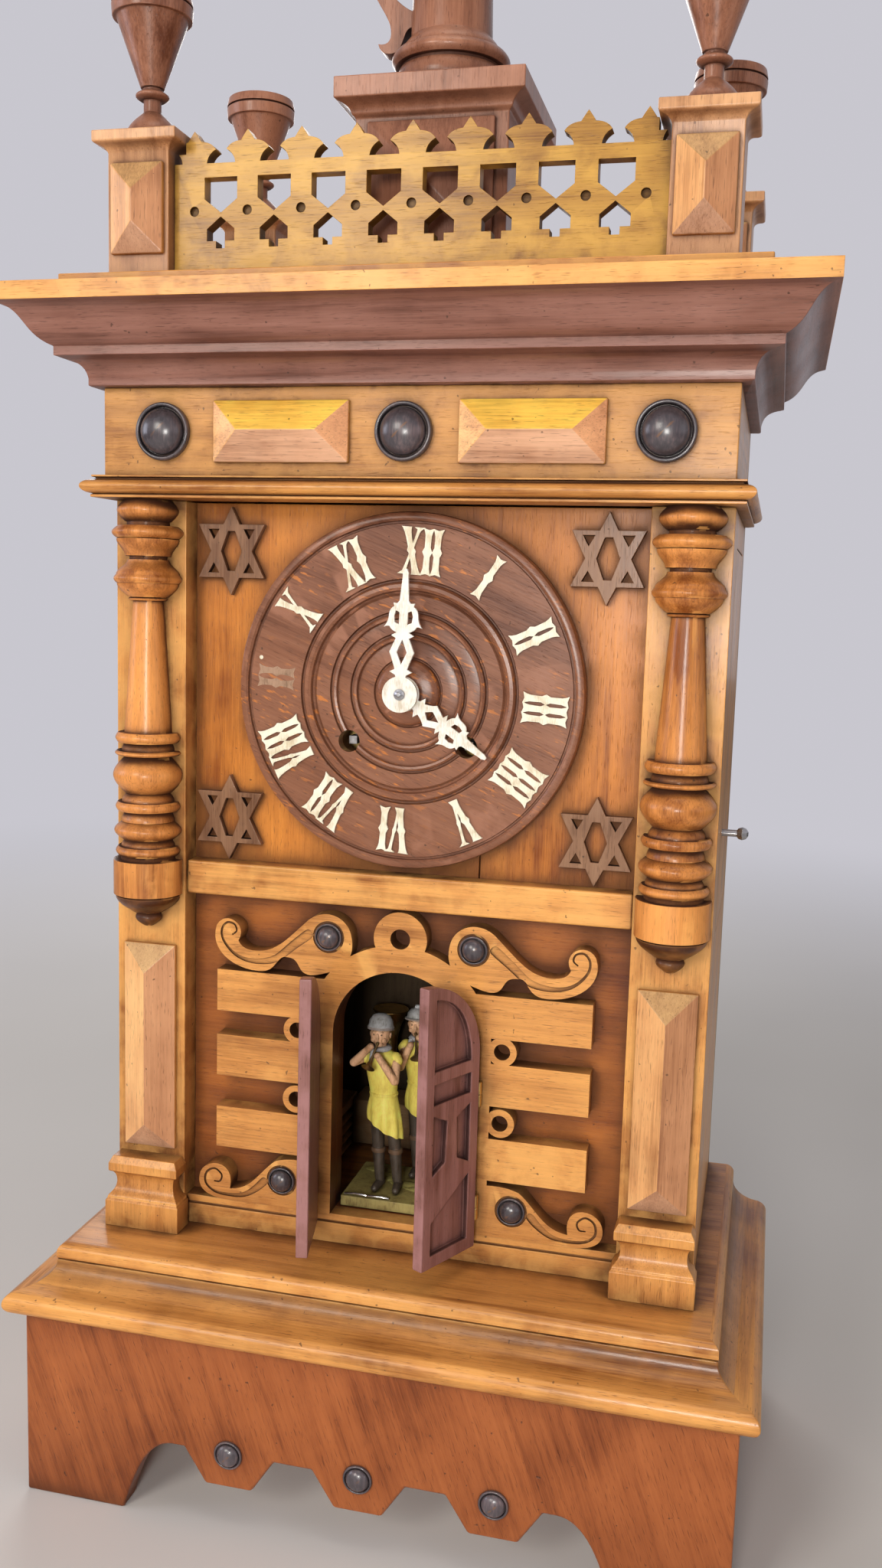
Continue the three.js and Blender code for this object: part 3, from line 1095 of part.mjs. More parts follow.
function buildPlates() {
  const half = PLATE_W / 2;
  const holes = (y) => [
    rod(0, DIAL_Z, ARBOR_R + GAP, y - SINK, y + PLATE_T + SINK),
    rod(0, FLY_Z, ARBOR_R + GAP, y - SINK, y + PLATE_T + SINK),
    ...[-1, 1].map((s) => rod(s * WIND_X, WIND_Z, WIND_ARBOR_R + GAP, y - SINK, y + PLATE_T + SINK)),
  ];
  const sheet = (y) => board(-half, half, y, y + PLATE_T, SHELF_TOP, PLATE_TOP);
  add('movement_front_plate', carve(sheet(PLATE_FRONT_Y), ...holes(PLATE_FRONT_Y)), brass());
  const inset = 2 * PILLAR_R;
  const pillars = [-1, 1].flatMap((side) => [SHELF_TOP + inset, PLATE_TOP - inset].map((z) => (
    rod(side * (half - inset), z, PILLAR_R, PLATE_FRONT_Y + PLATE_T + GAP, PLATE_BACK_Y + SINK)
  )));
  const pinZ = PLATE_TOP - HANGER_DROP;
  const hanger = board(-5, 5, PLATE_BACK_Y + SINK, PENDULUM_Y + 5, pinZ + 5, PLATE_TOP - 2);
  const back = carve(sheet(PLATE_BACK_Y), ...holes(PLATE_BACK_Y));
  const pin = rod(0, pinZ, ARBOR_R, PLATE_BACK_Y + SINK, PENDULUM_Y + 5);
  const strap = board(-5, 5, PENDULUM_Y + 3.2, PENDULUM_Y + 5, pinZ - 4, PLATE_TOP - 2);
  add('movement_back_plate', fuse(back, hanger, strap, pin, ...pillars), brass());

  const eye = carve(
    rod(0, pinZ, 4.5, PENDULUM_Y - 2, PENDULUM_Y + 2, SEG),
    rod(0, pinZ, ARBOR_R + GAP, PENDULUM_Y - 4, PENDULUM_Y + 4),
  );
  const bobZ = pinZ - PENDULUM_L;
  const bob = [['swell', BOB_T / 2, BOB_R * 0.5, BOB_R], ['hollow', BOB_T / 2, BOB_R, BOB_R * 0.5]];
  add('pendulum', fuse(
    eye,
    board(-2, 2, PENDULUM_Y - 1, PENDULUM_Y + 1, bobZ, pinZ - 3.5),
    turnedForward(bob, SEG).translate(0, PENDULUM_Y + BOB_T / 2, bobZ),
  ), brass());
}

function buildShelf() {
  const slot = board(-26, 26, PENDULUM_Y - 8, PENDULUM_Y + 8, SHELF_Z - SINK, SHELF_TOP + SINK);
  const notch = board(
    INNER - 4 * CATCH_R, INNER + SINK, CATCH_Y - CATCH_TONGUE - CATCH_R, CATCH_Y + 2 * CATCH_R,
    SHELF_Z - SINK, SHELF_TOP + SINK,
  );
  const seat = carve(
    board(-INNER + GAP, INNER - GAP, SHELF_FRONT_Y, SHELF_BACK_Y, SHELF_Z, SHELF_TOP), slot, notch,
  );
  const bearers = [-1, 1].map((side) => {
    const x = side * (PIN_BARREL_L / 2 + 6);
    return board(x - 4, x + 4, PIN_BARREL_Y - 8, PIN_BARREL_Y + 8, SHELF_Z + SINK, PIN_BARREL_Z + 9);
  });
  const along = (r, length) => new THREE.CylinderGeometry(r, r, length, SEG)
    .rotateZ(Math.PI / 2).translate(0, PIN_BARREL_Y, PIN_BARREL_Z);
  const journal = along(ARBOR_R + GAP, PIN_BARREL_L + 60);
  add('movement_shelf', carve(fuse(seat, ...bearers), journal), pine());
  add('pin_barrel', fuse(along(PIN_BARREL_R, PIN_BARREL_L), along(ARBOR_R, PIN_BARREL_L + 20)), pine());
}

function buildWind() {
  const [x0, x1] = [-INNER + 2 * GAP, -BELLOWS_X];
  const base = FLOOR_Z + GAP;
  const hinge = BELLOWS_BACK_Y - BELLOWS_BOARD_T;
  const wedge = outline([
    [BELLOWS_FRONT_Y, base], [BELLOWS_BACK_Y, base], [BELLOWS_BACK_Y, base + BELLOWS_H],
    [BELLOWS_FRONT_Y, base + BELLOWS_H],
  ]);
  const body = new THREE.ExtrudeGeometry(wedge, { depth: x1 - x0, bevelEnabled: false });
  body.rotateX(Math.PI / 2).rotateZ(Math.PI / 2).translate(x0, 0, 0);
  add('bellows', geometryOf(solid(body)), leather());
  const top = base + BELLOWS_H + GAP;
  add('bellows_board', board(x0, x1, BELLOWS_FRONT_Y, hinge, top, top + BELLOWS_BOARD_T), pine());

  const chest = board(-BELLOWS_X + GAP, CHEST_RIGHT_X, CHEST_FRONT_Y, CHEST_BACK_Y, base, base + CHEST_H);
  const middle = (CHEST_FRONT_Y + CHEST_BACK_Y) / 2;
  const pitch = (CHEST_RIGHT_X + BELLOWS_X) / HORN_COUNT;
  const horns = Array.from({ length: HORN_COUNT }, (_, k) => {
    const x = -BELLOWS_X + (k + 0.5) * pitch;
    const height = 60 + 9 * k;
    const horn = turned([
      ['line', SINK, 4, 4], ['line', height * 0.6, 3, 5], ['hollow', height * 0.4, 5, HORN_R],
      ['line', 1, HORN_R, HORN_R],
    ], SEG_TINY);
    return horn.translate(x, middle, base + CHEST_H - SINK);
  });
  add('trumpet_chest', fuse(chest, ...horns), brass());
}

// Trumpeters on their platform

// Limb from one point to another, with a radius at each end
function limb(from, to, r0, r1, segments = 5) {
  const a = new THREE.Vector3(...from);
  const b = new THREE.Vector3(...to);
  const along = b.clone().sub(a);
  const bar = new THREE.CylinderGeometry(r1, r0, along.length(), segments);
  const up = new THREE.Vector3(0, 1, 0);
  const turn = new THREE.Quaternion().setFromUnitVectors(up, along.clone().normalize());
  const place = a.clone().add(b).multiplyScalar(0.5);
  return bar.applyQuaternion(turn).translate(place.x, place.y, place.z);
}

function ball(x, y, z, r, stretch = 1) {
  const sphere = new THREE.SphereGeometry(r, SEG_SMALL, 5).rotateX(Math.PI / 2);
  return sphere.scale(1, 1, stretch).translate(x, y, z);
}

function buildTrumpeter(name, x, y, side) {
  const u = FIGURE_H / 102;
  const at = (dx, dy, dz) => [x + dx * u, y + dy * u, PLATFORM_Z + PLATFORM_T + GAP + dz * u];
  const legs = [-1, 1].flatMap((s) => [
    limb(at(s * 6, 0, 3), at(s * 5, 0, 48), 3.2 * u, 4.6 * u),
    limb(at(s * 6, 3, 2.4), at(s * 7, -8, 2.4), 2.3 * u, 2.3 * u),
  ]);
  const tunic = turned([
    ['line', 24 * u, 12.5 * u, 9 * u], ['line', 22 * u, 9 * u, 10.5 * u],
    ['swell', 5 * u, 10.5 * u, 3.5 * u],
  ], SEG_TINY).scale(1, 0.75, 1).translate(...at(0, 0, 32));
  const neck = limb(at(0, 0, 80), at(0, 0, 87), 3.2 * u, 3.2 * u);
  const head = ball(...at(0, 0, 90), 6.4 * u, 1.15);
  const cap = turned([
    ['line', 2 * u, 7.4 * u, 7 * u], ['swell', 5 * u, 7 * u, 2 * u], ['bead', 3 * u, 1.4 * u, 2.2 * u],
  ], SEG_TINY).translate(...at(0, 0.5, 92.5));
  const elbow = { [side]: 75, [-side]: 66 };
  const arms = [-1, 1].flatMap((s) => [
    limb(at(s * 9, 0, 77), at(s * 15, -5, elbow[s]), 3.1 * u, 2.8 * u),
    limb(at(s * 15.5, -4.5, elbow[s]), at(s * 2, -12, 83), 2.8 * u, 2.3 * u),
  ]);
  const trumpet = limb(at(0, -5, 86), at(side * 3, -15, 77), 1.4 * u, 1.4 * u);
  const bell = limb(at(side * 3, -15, 77), at(side * 4, -18, 73), 1.4 * u, 4 * u);
  add(name, fuse(tunic, ...legs, neck, head, cap, ...arms, trumpet, bell), paint());
}

function buildFigures() {
  const front = PANEL_Y + SINK;
  const half = ARCH_R - PLATFORM_EDGE;
  const slab = board(-half, half, front, front + PLATFORM_D, PLATFORM_Z, PLATFORM_Z + PLATFORM_T);
  const block = board(-half, half, PANEL_BACK + GAP, front + PLATFORM_D, FLOOR_Z + GAP, PLATFORM_Z + SINK);
  add('figure_platform', fuse(slab, block), olive());
  buildTrumpeter('left_trumpeter', LEFT_FIGURE[0], front + LEFT_FIGURE[1], -1);
  buildTrumpeter('right_trumpeter', RIGHT_FIGURE[0], front + RIGHT_FIGURE[1], 1);
}

// Side door with its turn catch

function buildSideDoor() {
  const [y0, y1] = [SIDE_DOOR_FRONT_Y + SIDE_DOOR_CLEAR, SIDE_DOOR_BACK_Y - RUNNING];
  const [z0, z1] = [SIDE_DOOR_Z + RUNNING, SIDE_DOOR_Z + SIDE_DOOR_H - RUNNING];
  const hole = new THREE.CylinderGeometry(CATCH_R + GAP, CATCH_R + GAP, 4 * SIDE_T, SEG_SMALL)
    .rotateZ(Math.PI / 2).translate(HALF, CATCH_Y, CATCH_Z);
  add('side_door', carve(board(INNER, HALF, y0, y1, z0, z1), hole), walnut());
  const from = INNER - GAP - 2 * CATCH_R;
  const stem = new THREE.CylinderGeometry(CATCH_R, CATCH_R, HALF + CATCH_OUT - from, SEG_SMALL)
    .rotateZ(Math.PI / 2).translate((HALF + CATCH_OUT + from) / 2, CATCH_Y, CATCH_Z);
  const tip = CATCH_Z + CATCH_TONGUE;
  const tongue = board(from, INNER - GAP, CATCH_Y - CATCH_R, CATCH_Y + CATCH_R, CATCH_Z, tip);
  const knob = ball(HALF + CATCH_OUT, CATCH_Y, CATCH_Z, 1.8 * CATCH_R);
  add('side_door_catch', fuse(stem, tongue, knob), steel());
}

buildPlinth();
buildCase();
buildFret();
buildDoor('left_door', -1, LEFT_OPEN);
buildDoor('right_door', 1, RIGHT_OPEN);
buildEntablature();
buildGallery();
buildDial();
buildHands();
buildTrain();
buildPlates();
buildShelf();
buildWind();
buildFigures();
buildSideDoor();

export default clock;
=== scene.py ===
"""Looks of a trumpeter clock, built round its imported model.

Metres, +Z up, the front faces -Y. Shapes are drawn in millimetres, in the frame of the
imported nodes, and become metres when a workpiece is settled.
"""
from math import cos, dist, hypot, pi, radians, sin

import bmesh
import bpy
from bpy.props import FloatProperty, FloatVectorProperty, IntProperty, PointerProperty
from mathutils import Matrix, Vector
from mathutils.geometry import delaunay_2d_cdt, normal


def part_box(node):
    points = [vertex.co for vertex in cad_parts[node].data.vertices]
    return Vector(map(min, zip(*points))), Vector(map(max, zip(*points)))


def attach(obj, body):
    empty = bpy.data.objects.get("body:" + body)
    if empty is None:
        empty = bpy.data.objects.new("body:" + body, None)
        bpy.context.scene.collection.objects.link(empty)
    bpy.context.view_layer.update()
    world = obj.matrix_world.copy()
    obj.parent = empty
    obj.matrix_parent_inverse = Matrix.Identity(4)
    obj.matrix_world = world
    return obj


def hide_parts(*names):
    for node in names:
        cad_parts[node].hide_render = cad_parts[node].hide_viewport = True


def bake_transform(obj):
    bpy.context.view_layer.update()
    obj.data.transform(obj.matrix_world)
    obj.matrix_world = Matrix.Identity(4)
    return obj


bl_info = {
    "name": "Trumpeter Clock",
    "version": (1, 0, 0),
    "blender": (4, 5, 0),
    "location": "3D View > Sidebar > Clock",
    "description": "Turned, sawn and painted pieces of a trumpeter clock",
    "category": "Object",
}

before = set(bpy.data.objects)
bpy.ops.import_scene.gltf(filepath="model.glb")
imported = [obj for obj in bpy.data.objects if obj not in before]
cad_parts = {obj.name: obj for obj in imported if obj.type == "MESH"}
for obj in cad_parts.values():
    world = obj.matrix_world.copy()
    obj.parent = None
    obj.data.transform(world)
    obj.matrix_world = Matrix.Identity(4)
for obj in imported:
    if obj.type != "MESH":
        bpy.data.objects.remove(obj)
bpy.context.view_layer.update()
MM = 0.001


def low(node):
    """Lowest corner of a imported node, in millimetres."""
    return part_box(node)[0] / MM


def high(node):
    """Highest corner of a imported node, in millimetres."""
    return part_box(node)[1] / MM


# Planes of the case
HALF = high("right_side").x
BACK = high("back_board").y
BACK_IN = low("back_board").y
POST_Y = high("left_column").y
POST_BACK = high("left_stile").y
PANEL_Y = low("lower_panel").y
PANEL_BACK = high("lower_panel").y
OPEN_X = high("lower_panel").x
FRIEZE_Y = high("frieze_boss_centre").y
FRET_T = 11
FRET_Y = PANEL_Y - FRET_T
APRON_T = 14
APRON_Y = high("plinth_front").y - APRON_T
APRON_OUT = 29
BASE_Y = APRON_Y + APRON_OUT
POST_HALF = 20.5
COLUMN_X = 145.7
RUN_WALL = 14  # thickness of the mitred runs round the case

# Levels of the stacked layers
APRON_H = high("plinth_front").z
STEP_Z = low("base_step").z
FLOOR_Z = low("left_side").z
SILL_TOP = high("bottom_rail").z
RAIL_Z = low("mid_rail").z
RAIL_TOP = high("mid_rail").z
ASTRAGAL_Z = low("astragal").z
FRIEZE_Z = low("frieze").z
CORNICE_Z = low("cornice").z
DECK_Z = high("gallery_floor").z

# Dial and pedestals
DIAL_Z = (low("dial").z + high("dial").z) / 2
DIAL_FACE = 8.2  # height of the flat under the numerals
WIND_X = 32.5
WIND_Z = DIAL_Z - 27.6
WIND_HOLE = 6
PEDESTAL_H = 74
PEDESTAL_HALF = 17
PEDESTAL_CAP = 6.25

# Arch, doors and fretwork
ARCH_R = 37.5
ARCH_BAND = 15
CREST_R = 15
CREST_HOLE = 5.6
CREST_Z = RAIL_Z - 1.2 - CREST_R
SPRING_Z = CREST_Z - CREST_HOLE / 2 - 1 - ARCH_BAND - ARCH_R
UPPER_BOSS_Z = RAIL_Z - 18.5
LOWER_BOSS_Z = SILL_TOP + 16
SCROLL_STRETCH = (OPEN_X - 13 - ARCH_R) / 74.5
BAR_H = 24
RING_X = 58.5
DOOR_T = 6.5
PIVOT_X = ARCH_R + 9
PIVOT_Y = FRET_Y - 0.3 - DOOR_T / 2
HINGE_ZS = SILL_TOP + 14, SPRING_Z - 28
KNUCKLE_R = 2.2

# Directions and angles
FORWARD = Matrix.Rotation(pi / 2, 4, "X")
UP = Vector((0, 0, 1))
HIP_ANGLE = 20  # degrees: the flattest hip that gets a rounded edge of its own

# Camera, solved from the straight edges of the photograph
CAMERA_AT = 0.18933, -0.75164, 0.50737
CAMERA_TURN = 0.2384, -0.1359, 0.0286  # yaw, pitch and roll in radians
CAMERA_FOCUS = 1773.4  # pixels, in a picture of this height
PICTURE_H = 2048
SENSOR_H = 36


# Sizes and colours that a maker may change

def length_of(name, about, default):
    return FloatProperty(name=name, description=about, default=default, min=0, precision=5, unit="LENGTH")


def angle_of(name, about, degrees):
    return FloatProperty(name=name, description=about, default=radians(degrees), subtype="ANGLE")


def count_of(name, about, default, least=1):
    return IntProperty(name=name, description=about, default=default, min=least)


def colour_of(name, about, default):
    return FloatVectorProperty(
        name=name, description=about, default=default, size=3, min=0, max=1, subtype="COLOR")


class ClockSizes(bpy.types.PropertyGroup):
    """Sizes of the clock's finish and ornament."""

    worn_edge: length_of("Worn edge", "Rounding of the case's outer edges", 0.0007)
    crisp_edge: length_of("Crisp edge", "Rounding of small turned and carved edges", 0.00035)
    turning_facets: count_of("Turning facets", "Facets round a turned piece", 72, 12)
    numeral_foot: length_of("Numeral foot", "Radius at which the numerals start", 0.0622)
    numeral_head: length_of("Numeral head", "Radius at which the numerals end", 0.0868)
    numeral_rise: length_of("Numeral rise", "Height of the numerals above the dial", 0.0012)
    dial_turn: angle_of("Dial turn", "How far the dial has slipped clockwise on its panel", 4.3)
    left_open: angle_of("Left leaf", "How far the left leaf stands open", 78)
    right_open: angle_of("Right leaf", "How far the right leaf stands open", 63)
    barrel_pins: count_of("Barrel pins", "Brass pins that are set in the tune barrel", 320)
    pleats: count_of("Pleats", "Folds in the bellows' leather", 4)


class ClockColours(bpy.types.PropertyGroup):
    """Colours of the clock's finishes."""

    walnut: colour_of("Walnut", "Mouldings, posts and columns", (0.70, 0.305, 0.078))
    panel: colour_of("Panel walnut", "Panels behind the dial and the fretwork", (0.66, 0.228, 0.034))
    apron: colour_of("Apron walnut", "Sawn apron and sides of the plinth", (0.36, 0.100, 0.026))
    umber: colour_of("Dark walnut", "Cornice, tower, finials and tankard", (0.36, 0.150, 0.085))
    pedestal: colour_of("Pedestal walnut", "Blocks at the corners of the gallery", (0.62, 0.310, 0.140))
    dial: colour_of("Dial walnut", "Turned dial", (0.240, 0.094, 0.048))
    star: colour_of("Star walnut", "Stars round the dial", (0.27, 0.135, 0.070))
    door: colour_of("Door walnut", "Leaves in front of the figures", (0.28, 0.122, 0.105))
    ebony: colour_of("Ebonised wood", "Bosses and buttons", (0.040, 0.033, 0.038))
    bone: colour_of("Bone", "Numerals", (0.95, 0.89, 0.74))
    hand_bone: colour_of("Hand bone", "Hands", (0.93, 0.91, 0.87))
    brass: colour_of("Brass", "Movement and horns", (0.72, 0.50, 0.18))
    steel: colour_of("Steel", "Arbors, nut and catch", (0.46, 0.46, 0.47))
    pine: colour_of("Pine", "Back, shelf and boards inside", (0.42, 0.250, 0.115))
    leather: colour_of("Leather", "Bellows", (0.40, 0.230, 0.115))
    tunic: colour_of("Tunic paint", "Coats of the trumpeters", (0.98, 0.82, 0.16))
    flesh: colour_of("Flesh paint", "Faces and arms", (0.86, 0.500, 0.290))
    cap: colour_of("Cap paint", "Caps and helmets", (0.40, 0.40, 0.40))
    boots: colour_of("Boot paint", "Legs and boots", (0.075, 0.056, 0.041))
    collar: colour_of("Collar paint", "Collars and plumes", (0.66, 0.70, 0.74))
    moss: colour_of("Moss paint", "Ground under the trumpeters", (0.42, 0.370, 0.115))


# Node graphs

class Wire:
    """One output of a node: sums and products of wires add Math nodes."""

    def __init__(self, graph, socket):
        self.graph, self.socket = graph, socket

    def math(self, operation, *values):
        return self.graph.node("ShaderNodeMath", {"operation": operation}, dict(enumerate(values)))

    def __add__(self, other):
        return self.math("ADD", self, other)

    def __sub__(self, other):
        return self.math("SUBTRACT", self, other)

    def __rsub__(self, other):
        return self.math("SUBTRACT", other, self)

    def __mul__(self, other):
        return self.math("MULTIPLY", self, other)

    def __truediv__(self, other):
        return self.math("DIVIDE", self, other)

    def sine(self):
        return self.math("SINE", self)

    def cosine(self):
        return self.math("COSINE", self)

    def between(self, first, last):
        """0 up to first, 1 from last on, and smooth between them."""
        return self.graph.node(
            "ShaderNodeMapRange", {"interpolation_type": "SMOOTHSTEP"},
            {"Value": self, "From Min": first, "From Max": last})


class Graph:
    """A node tree under way."""

    def __init__(self, tree):
        self.tree = tree

    def node(self, kind, settings=None, sockets=None, out=0):
        """Adds one node: its settings first, then the values or wires of its sockets."""
        node = self.tree.nodes.new(kind)
        for key, value in (settings or {}).items():
            if key == "stops":
                ramp = node.color_ramp
                while len(ramp.elements) < len(value):
                    ramp.elements.new(1)
                for element, (place, colour) in zip(ramp.elements, value):
                    element.position, element.color = place, (*colour, 1)
            else:
                setattr(node, key, value)
        for key, value in (sockets or {}).items():
            socket = node.inputs[key]
            if isinstance(value, Wire):
                self.tree.links.new(value.socket, socket)
            elif socket.type == "RGBA":
                socket.default_value = (*value, 1)
            else:
                socket.default_value = value
        return Wire(self, node.outputs[out]) if node.outputs else node


class Finish(Graph):
    """A procedural material, or the look of a world."""

    def __init__(self, name, owner=None):
        self.material = owner or bpy.data.materials.new(name)
        self.material.use_nodes = True
        super().__init__(self.material.node_tree)
        self.tree.nodes.clear()
        self.spot = self.node("ShaderNodeTexCoord", out="Object")

    def noise(self, sizes, detail=3, warp=0.0, seed=0.0, tilt=0.0):
        """Noise whose features have these sizes in millimetres along X, Y and Z."""
        place = self.node(
            "ShaderNodeMapping", {"vector_type": "TEXTURE"},
            {"Vector": self.spot, "Location": (seed, 0.37 * seed, 0.71 * seed),
             "Rotation": (0, tilt, 0), "Scale": [size * MM for size in sizes]})
        return self.node(
            "ShaderNodeTexNoise", sockets={
                "Vector": place, "Scale": 1.0, "Detail": detail, "Roughness": 0.55, "Distortion": warp})

    def ramp(self, value, stops):
        return self.node("ShaderNodeValToRGB", {"stops": stops}, {0: value})

    def mix(self, share, first, second):
        """Colour between two others."""
        return self.node("ShaderNodeMix", {"data_type": "RGBA"}, {0: share, 6: first, 7: second}, out=2)

    def crevice(self, reach, samples=6):
        """1 in corners and hollows, 0 on open faces."""
        open_sky = self.node(
            "ShaderNodeAmbientOcclusion", {"samples": samples}, {"Distance": reach * MM}, out="AO")
        return 1 - open_sky

    def edge(self):
        """1 on sharp outer edges."""
        return self.node("ShaderNodeNewGeometry", out="Pointiness").between(0.515, 0.60)

    def bump(self, height, depth, strength):
        return self.node(
            "ShaderNodeBump", sockets={"Strength": strength, "Distance": depth * MM, "Height": height})

    def surface(self, **sockets):
        """Ends the material in one Principled shader."""
        named = {key.replace("_", " ").title().replace("Ior ", "IOR "): value for key, value in sockets.items()}
        shader = self.node("ShaderNodeBsdfPrincipled", sockets=named)
        self.node("ShaderNodeOutputMaterial", sockets={"Surface": shader})
        return self.material


def scaled(colour, *factors):
    factors = factors * 3 if len(factors) == 1 else factors
    return tuple(min(1, c * k) for c, k in zip(colour, factors))


GRIME = 0.030, 0.017, 0.010
BARE_WOOD = 0.20, 0.10, 0.045


def made_once(maker):
    """The same maker of a finish, which makes each name only once."""
    def find(name, *values, **more):
        return bpy.data.materials.get(name) or maker(name, *values, **more)
    return find


def wood(name, colour, grain, seed, tilt=0.0, polish=0.36, grime_and_shade=0.9, wear=0.5, figure=1.0, reach=16,
         flecks=0.0, stained=None):
    """Old polished wood whose grain runs along one axis: streaks, figure, pores, worn edges, and ingrained dust
    with painted shade in its hollows and under overhangs.

    Between two heights in millimetres it is darkened, as far as the third number of that band says; under the
    step of the base this band is painted shadow.
    """
    label = f"{name}_{grain}{seed:g}"
    if label in bpy.data.materials:
        return bpy.data.materials[label]
    f = Finish(label)
    mid = tuple(colour)
    dark, light = scaled(mid, 0.38, 0.27, 0.20), scaled(mid, 1.36, 1.48, 1.55)
    axis = "XYZ".index(grain)

    def grained(length, width, detail, warp=0.0, shift=0.0):
        sizes = [width] * 3
        sizes[axis] = length
        return f.noise(sizes, detail, warp, seed + shift, tilt)

    streak = grained(150, 9, 5, 0.6)
    fibre = grained(30, 0.9, 2)
    rings = (grained(380, 34, 2, 0.2, 0.3) * 34).sine()
    pores = grained(7, 0.45, 1, 0, 0.6).between(0.62, 0.74)
    cloud = f.noise((70, 70, 70), 4, 0.4, seed + 0.9)
    aged = f.noise((140, 140, 140), 3, 0.8, seed + 2.7)
    tone = (streak - 0.5) * figure + rings * (0.06 * figure) + (fibre - 0.5) * 0.5
    tone = tone + (cloud - 0.5) * (0.5 + 0.5 * figure) + (aged - 0.5) * (0.9 * figure) + 0.5
    shade = f.ramp(tone, [(0.10, dark), (0.50, mid), (0.92, light)])
    shade = f.mix(pores * 0.55, shade, scaled(dark, 0.5))
    if flecks:
        fleck = grained(9, 2.0, 2, 0.1, 1.7).between(0.60, 0.70) * cloud.between(0.40, 0.58)
        shade = f.mix(fleck * flecks, shade, scaled(mid, 2.6, 2.2, 0.9))
    rubbed = f.noise((18, 18, 18), 5, 0.3, seed + 1.3)
    # Broad darkening far round corners and under overhangs: painted shade with a little dust, mottled by the
    # clouds.
    dust_and_broad_shade = (f.crevice(4.5 * reach, 4) + (cloud - 0.5) * 0.3).between(0.06, 0.62) * 0.62
    shade = f.mix(dust_and_broad_shade * grime_and_shade, shade, scaled(mid, 0.30, 0.22, 0.20))
    # Darkening close in the hollows: ingrained dust and painted shade together; it also dulls the polish and
    # thins the coat.
    dust_and_close_shade = (f.crevice(reach) + (rubbed - 0.5) * 0.6).between(0.10, 0.60) * grime_and_shade
    shade = f.mix(dust_and_close_shade, shade, scaled(mid, 0.085, 0.065, 0.07))
    # A band between two heights is darkened: painted shadow under the step's nose, and a darker foot on each
    # column.
    if stained:
        height = f.node("ShaderNodeSeparateXYZ", sockets={"Vector": f.spot}, out="Z") * (1 / MM)
        foot, head, depth = stained
        band = height.between(foot - 5, foot + 5) * (1 - height.between(head - 1, head + 1))
        uneven = rubbed.between(0.25, 0.6) * 0.35 + 0.65
        shade = f.mix(band * uneven * depth, shade, scaled(mid, 0.09, 0.07, 0.10))
    bare = f.edge() * rubbed.between(0.36, 0.62) * wear
    shade = f.mix(bare, shade, scaled(light, 1.15, 1.18, 1.30))
    specks = f.noise((3.0, 3.0, 3.0), 1, 0, seed + 2.1).between(0.75, 0.79)
    shade = f.mix(specks * 0.6, shade, GRIME)
    dull = (fibre - 0.5) * 0.18 + (cloud - 0.5) * 0.30 + dust_and_close_shade * 0.34 + polish
    relief = f.bump(fibre * 0.5 + streak * 0.6 - pores * 0.7 - specks, 0.20, 0.5)
    return f.surface(
        base_color=shade, roughness=dull, normal=relief, specular_ior_level=0.30,
        coat_weight=0.16 - dust_and_close_shade * 0.15, coat_roughness=0.16)


@made_once
def ebonised(name, colour):
    """Turned wood ebonised black, rubbed brown on its edges, and darker in its hollows."""
    f = Finish(name)
    fibre = f.noise((1.2, 1.2, 16), 3, 0.1)
    cloud = f.noise((16, 16, 16), 3, 0, 0.4)
    shade = f.ramp((fibre - 0.5) * 0.8 + cloud, [
        (0.25, scaled(colour, 0.55)), (0.55, tuple(colour)), (0.85, scaled(colour, 2.4, 2.0, 1.8))])
    shade = f.mix(f.edge() * cloud.between(0.40, 0.60) * 0.8, shade, (0.19, 0.095, 0.050))
    # Darker in the hollows: ingrained dust and painted shade.
    shade = f.mix(f.crevice(6).between(0.2, 0.8) * 0.8, shade, (0.010, 0.007, 0.006))
    dull = (cloud - 0.5) * 0.35 + 0.30
    return f.surface(
        base_color=shade, roughness=dull, normal=f.bump(fibre + cloud, 0.12, 0.4),
        coat_weight=0.30, coat_roughness=0.16)


@made_once
def ivory(name, colour, seed=0.0):
    """Sawn bone: fine pores, hollows darkened brown by yellowed dust and painted shade, soft polish."""
    f = Finish(name)
    pore = f.noise((0.5, 2.0, 3.5), 3, 0.2, seed)
    cloud = f.noise((9, 9, 9), 3, 0.1, seed + 0.5)
    shade = f.ramp((pore - 0.5) * 0.6 + cloud, [
        (0.25, scaled(colour, 0.70, 0.62, 0.48)), (0.50, scaled(colour, 0.97, 0.95, 0.90)),
        (0.72, tuple(colour))])
    # Brown in the hollows: yellowed dust and painted shade.
    shade = f.mix(f.crevice(2.4).between(0.10, 0.75) * 0.75, shade, scaled(colour, 0.36, 0.25, 0.15))
    dull = (cloud - 0.5) * 0.3 + 0.40
    return f.surface(
        base_color=shade, roughness=dull, normal=f.bump(pore, 0.08, 0.4),
        subsurface_weight=0.06, subsurface_scale=0.002)


@made_once
def metal(name, colour, tarnish, roughness=0.32, seed=0.0):
    """Old filed metal with tarnish in patches and corners."""
    f = Finish(name)
    patch = f.noise((14, 14, 14), 4, 0.3, seed)
    scratch = f.noise((26, 0.8, 0.8), 2, 0, seed + 0.5)
    dirt_and_shade = (f.crevice(6) * 0.8 + patch.between(0.46, 0.72) * 0.55).between(0.05, 0.95)
    shade = f.mix(dirt_and_shade, tuple(colour), tuple(tarnish))
    shade = f.mix(scratch.between(0.55, 0.75) * 0.25, shade, scaled(colour, 1.2))
    dull = (scratch - 0.5) * 0.25 + dirt_and_shade * 0.30 + roughness
    return f.surface(
        base_color=shade, metallic=1 - dirt_and_shade * 0.45, roughness=dull, normal=f.bump(scratch, 0.05, 0.35))


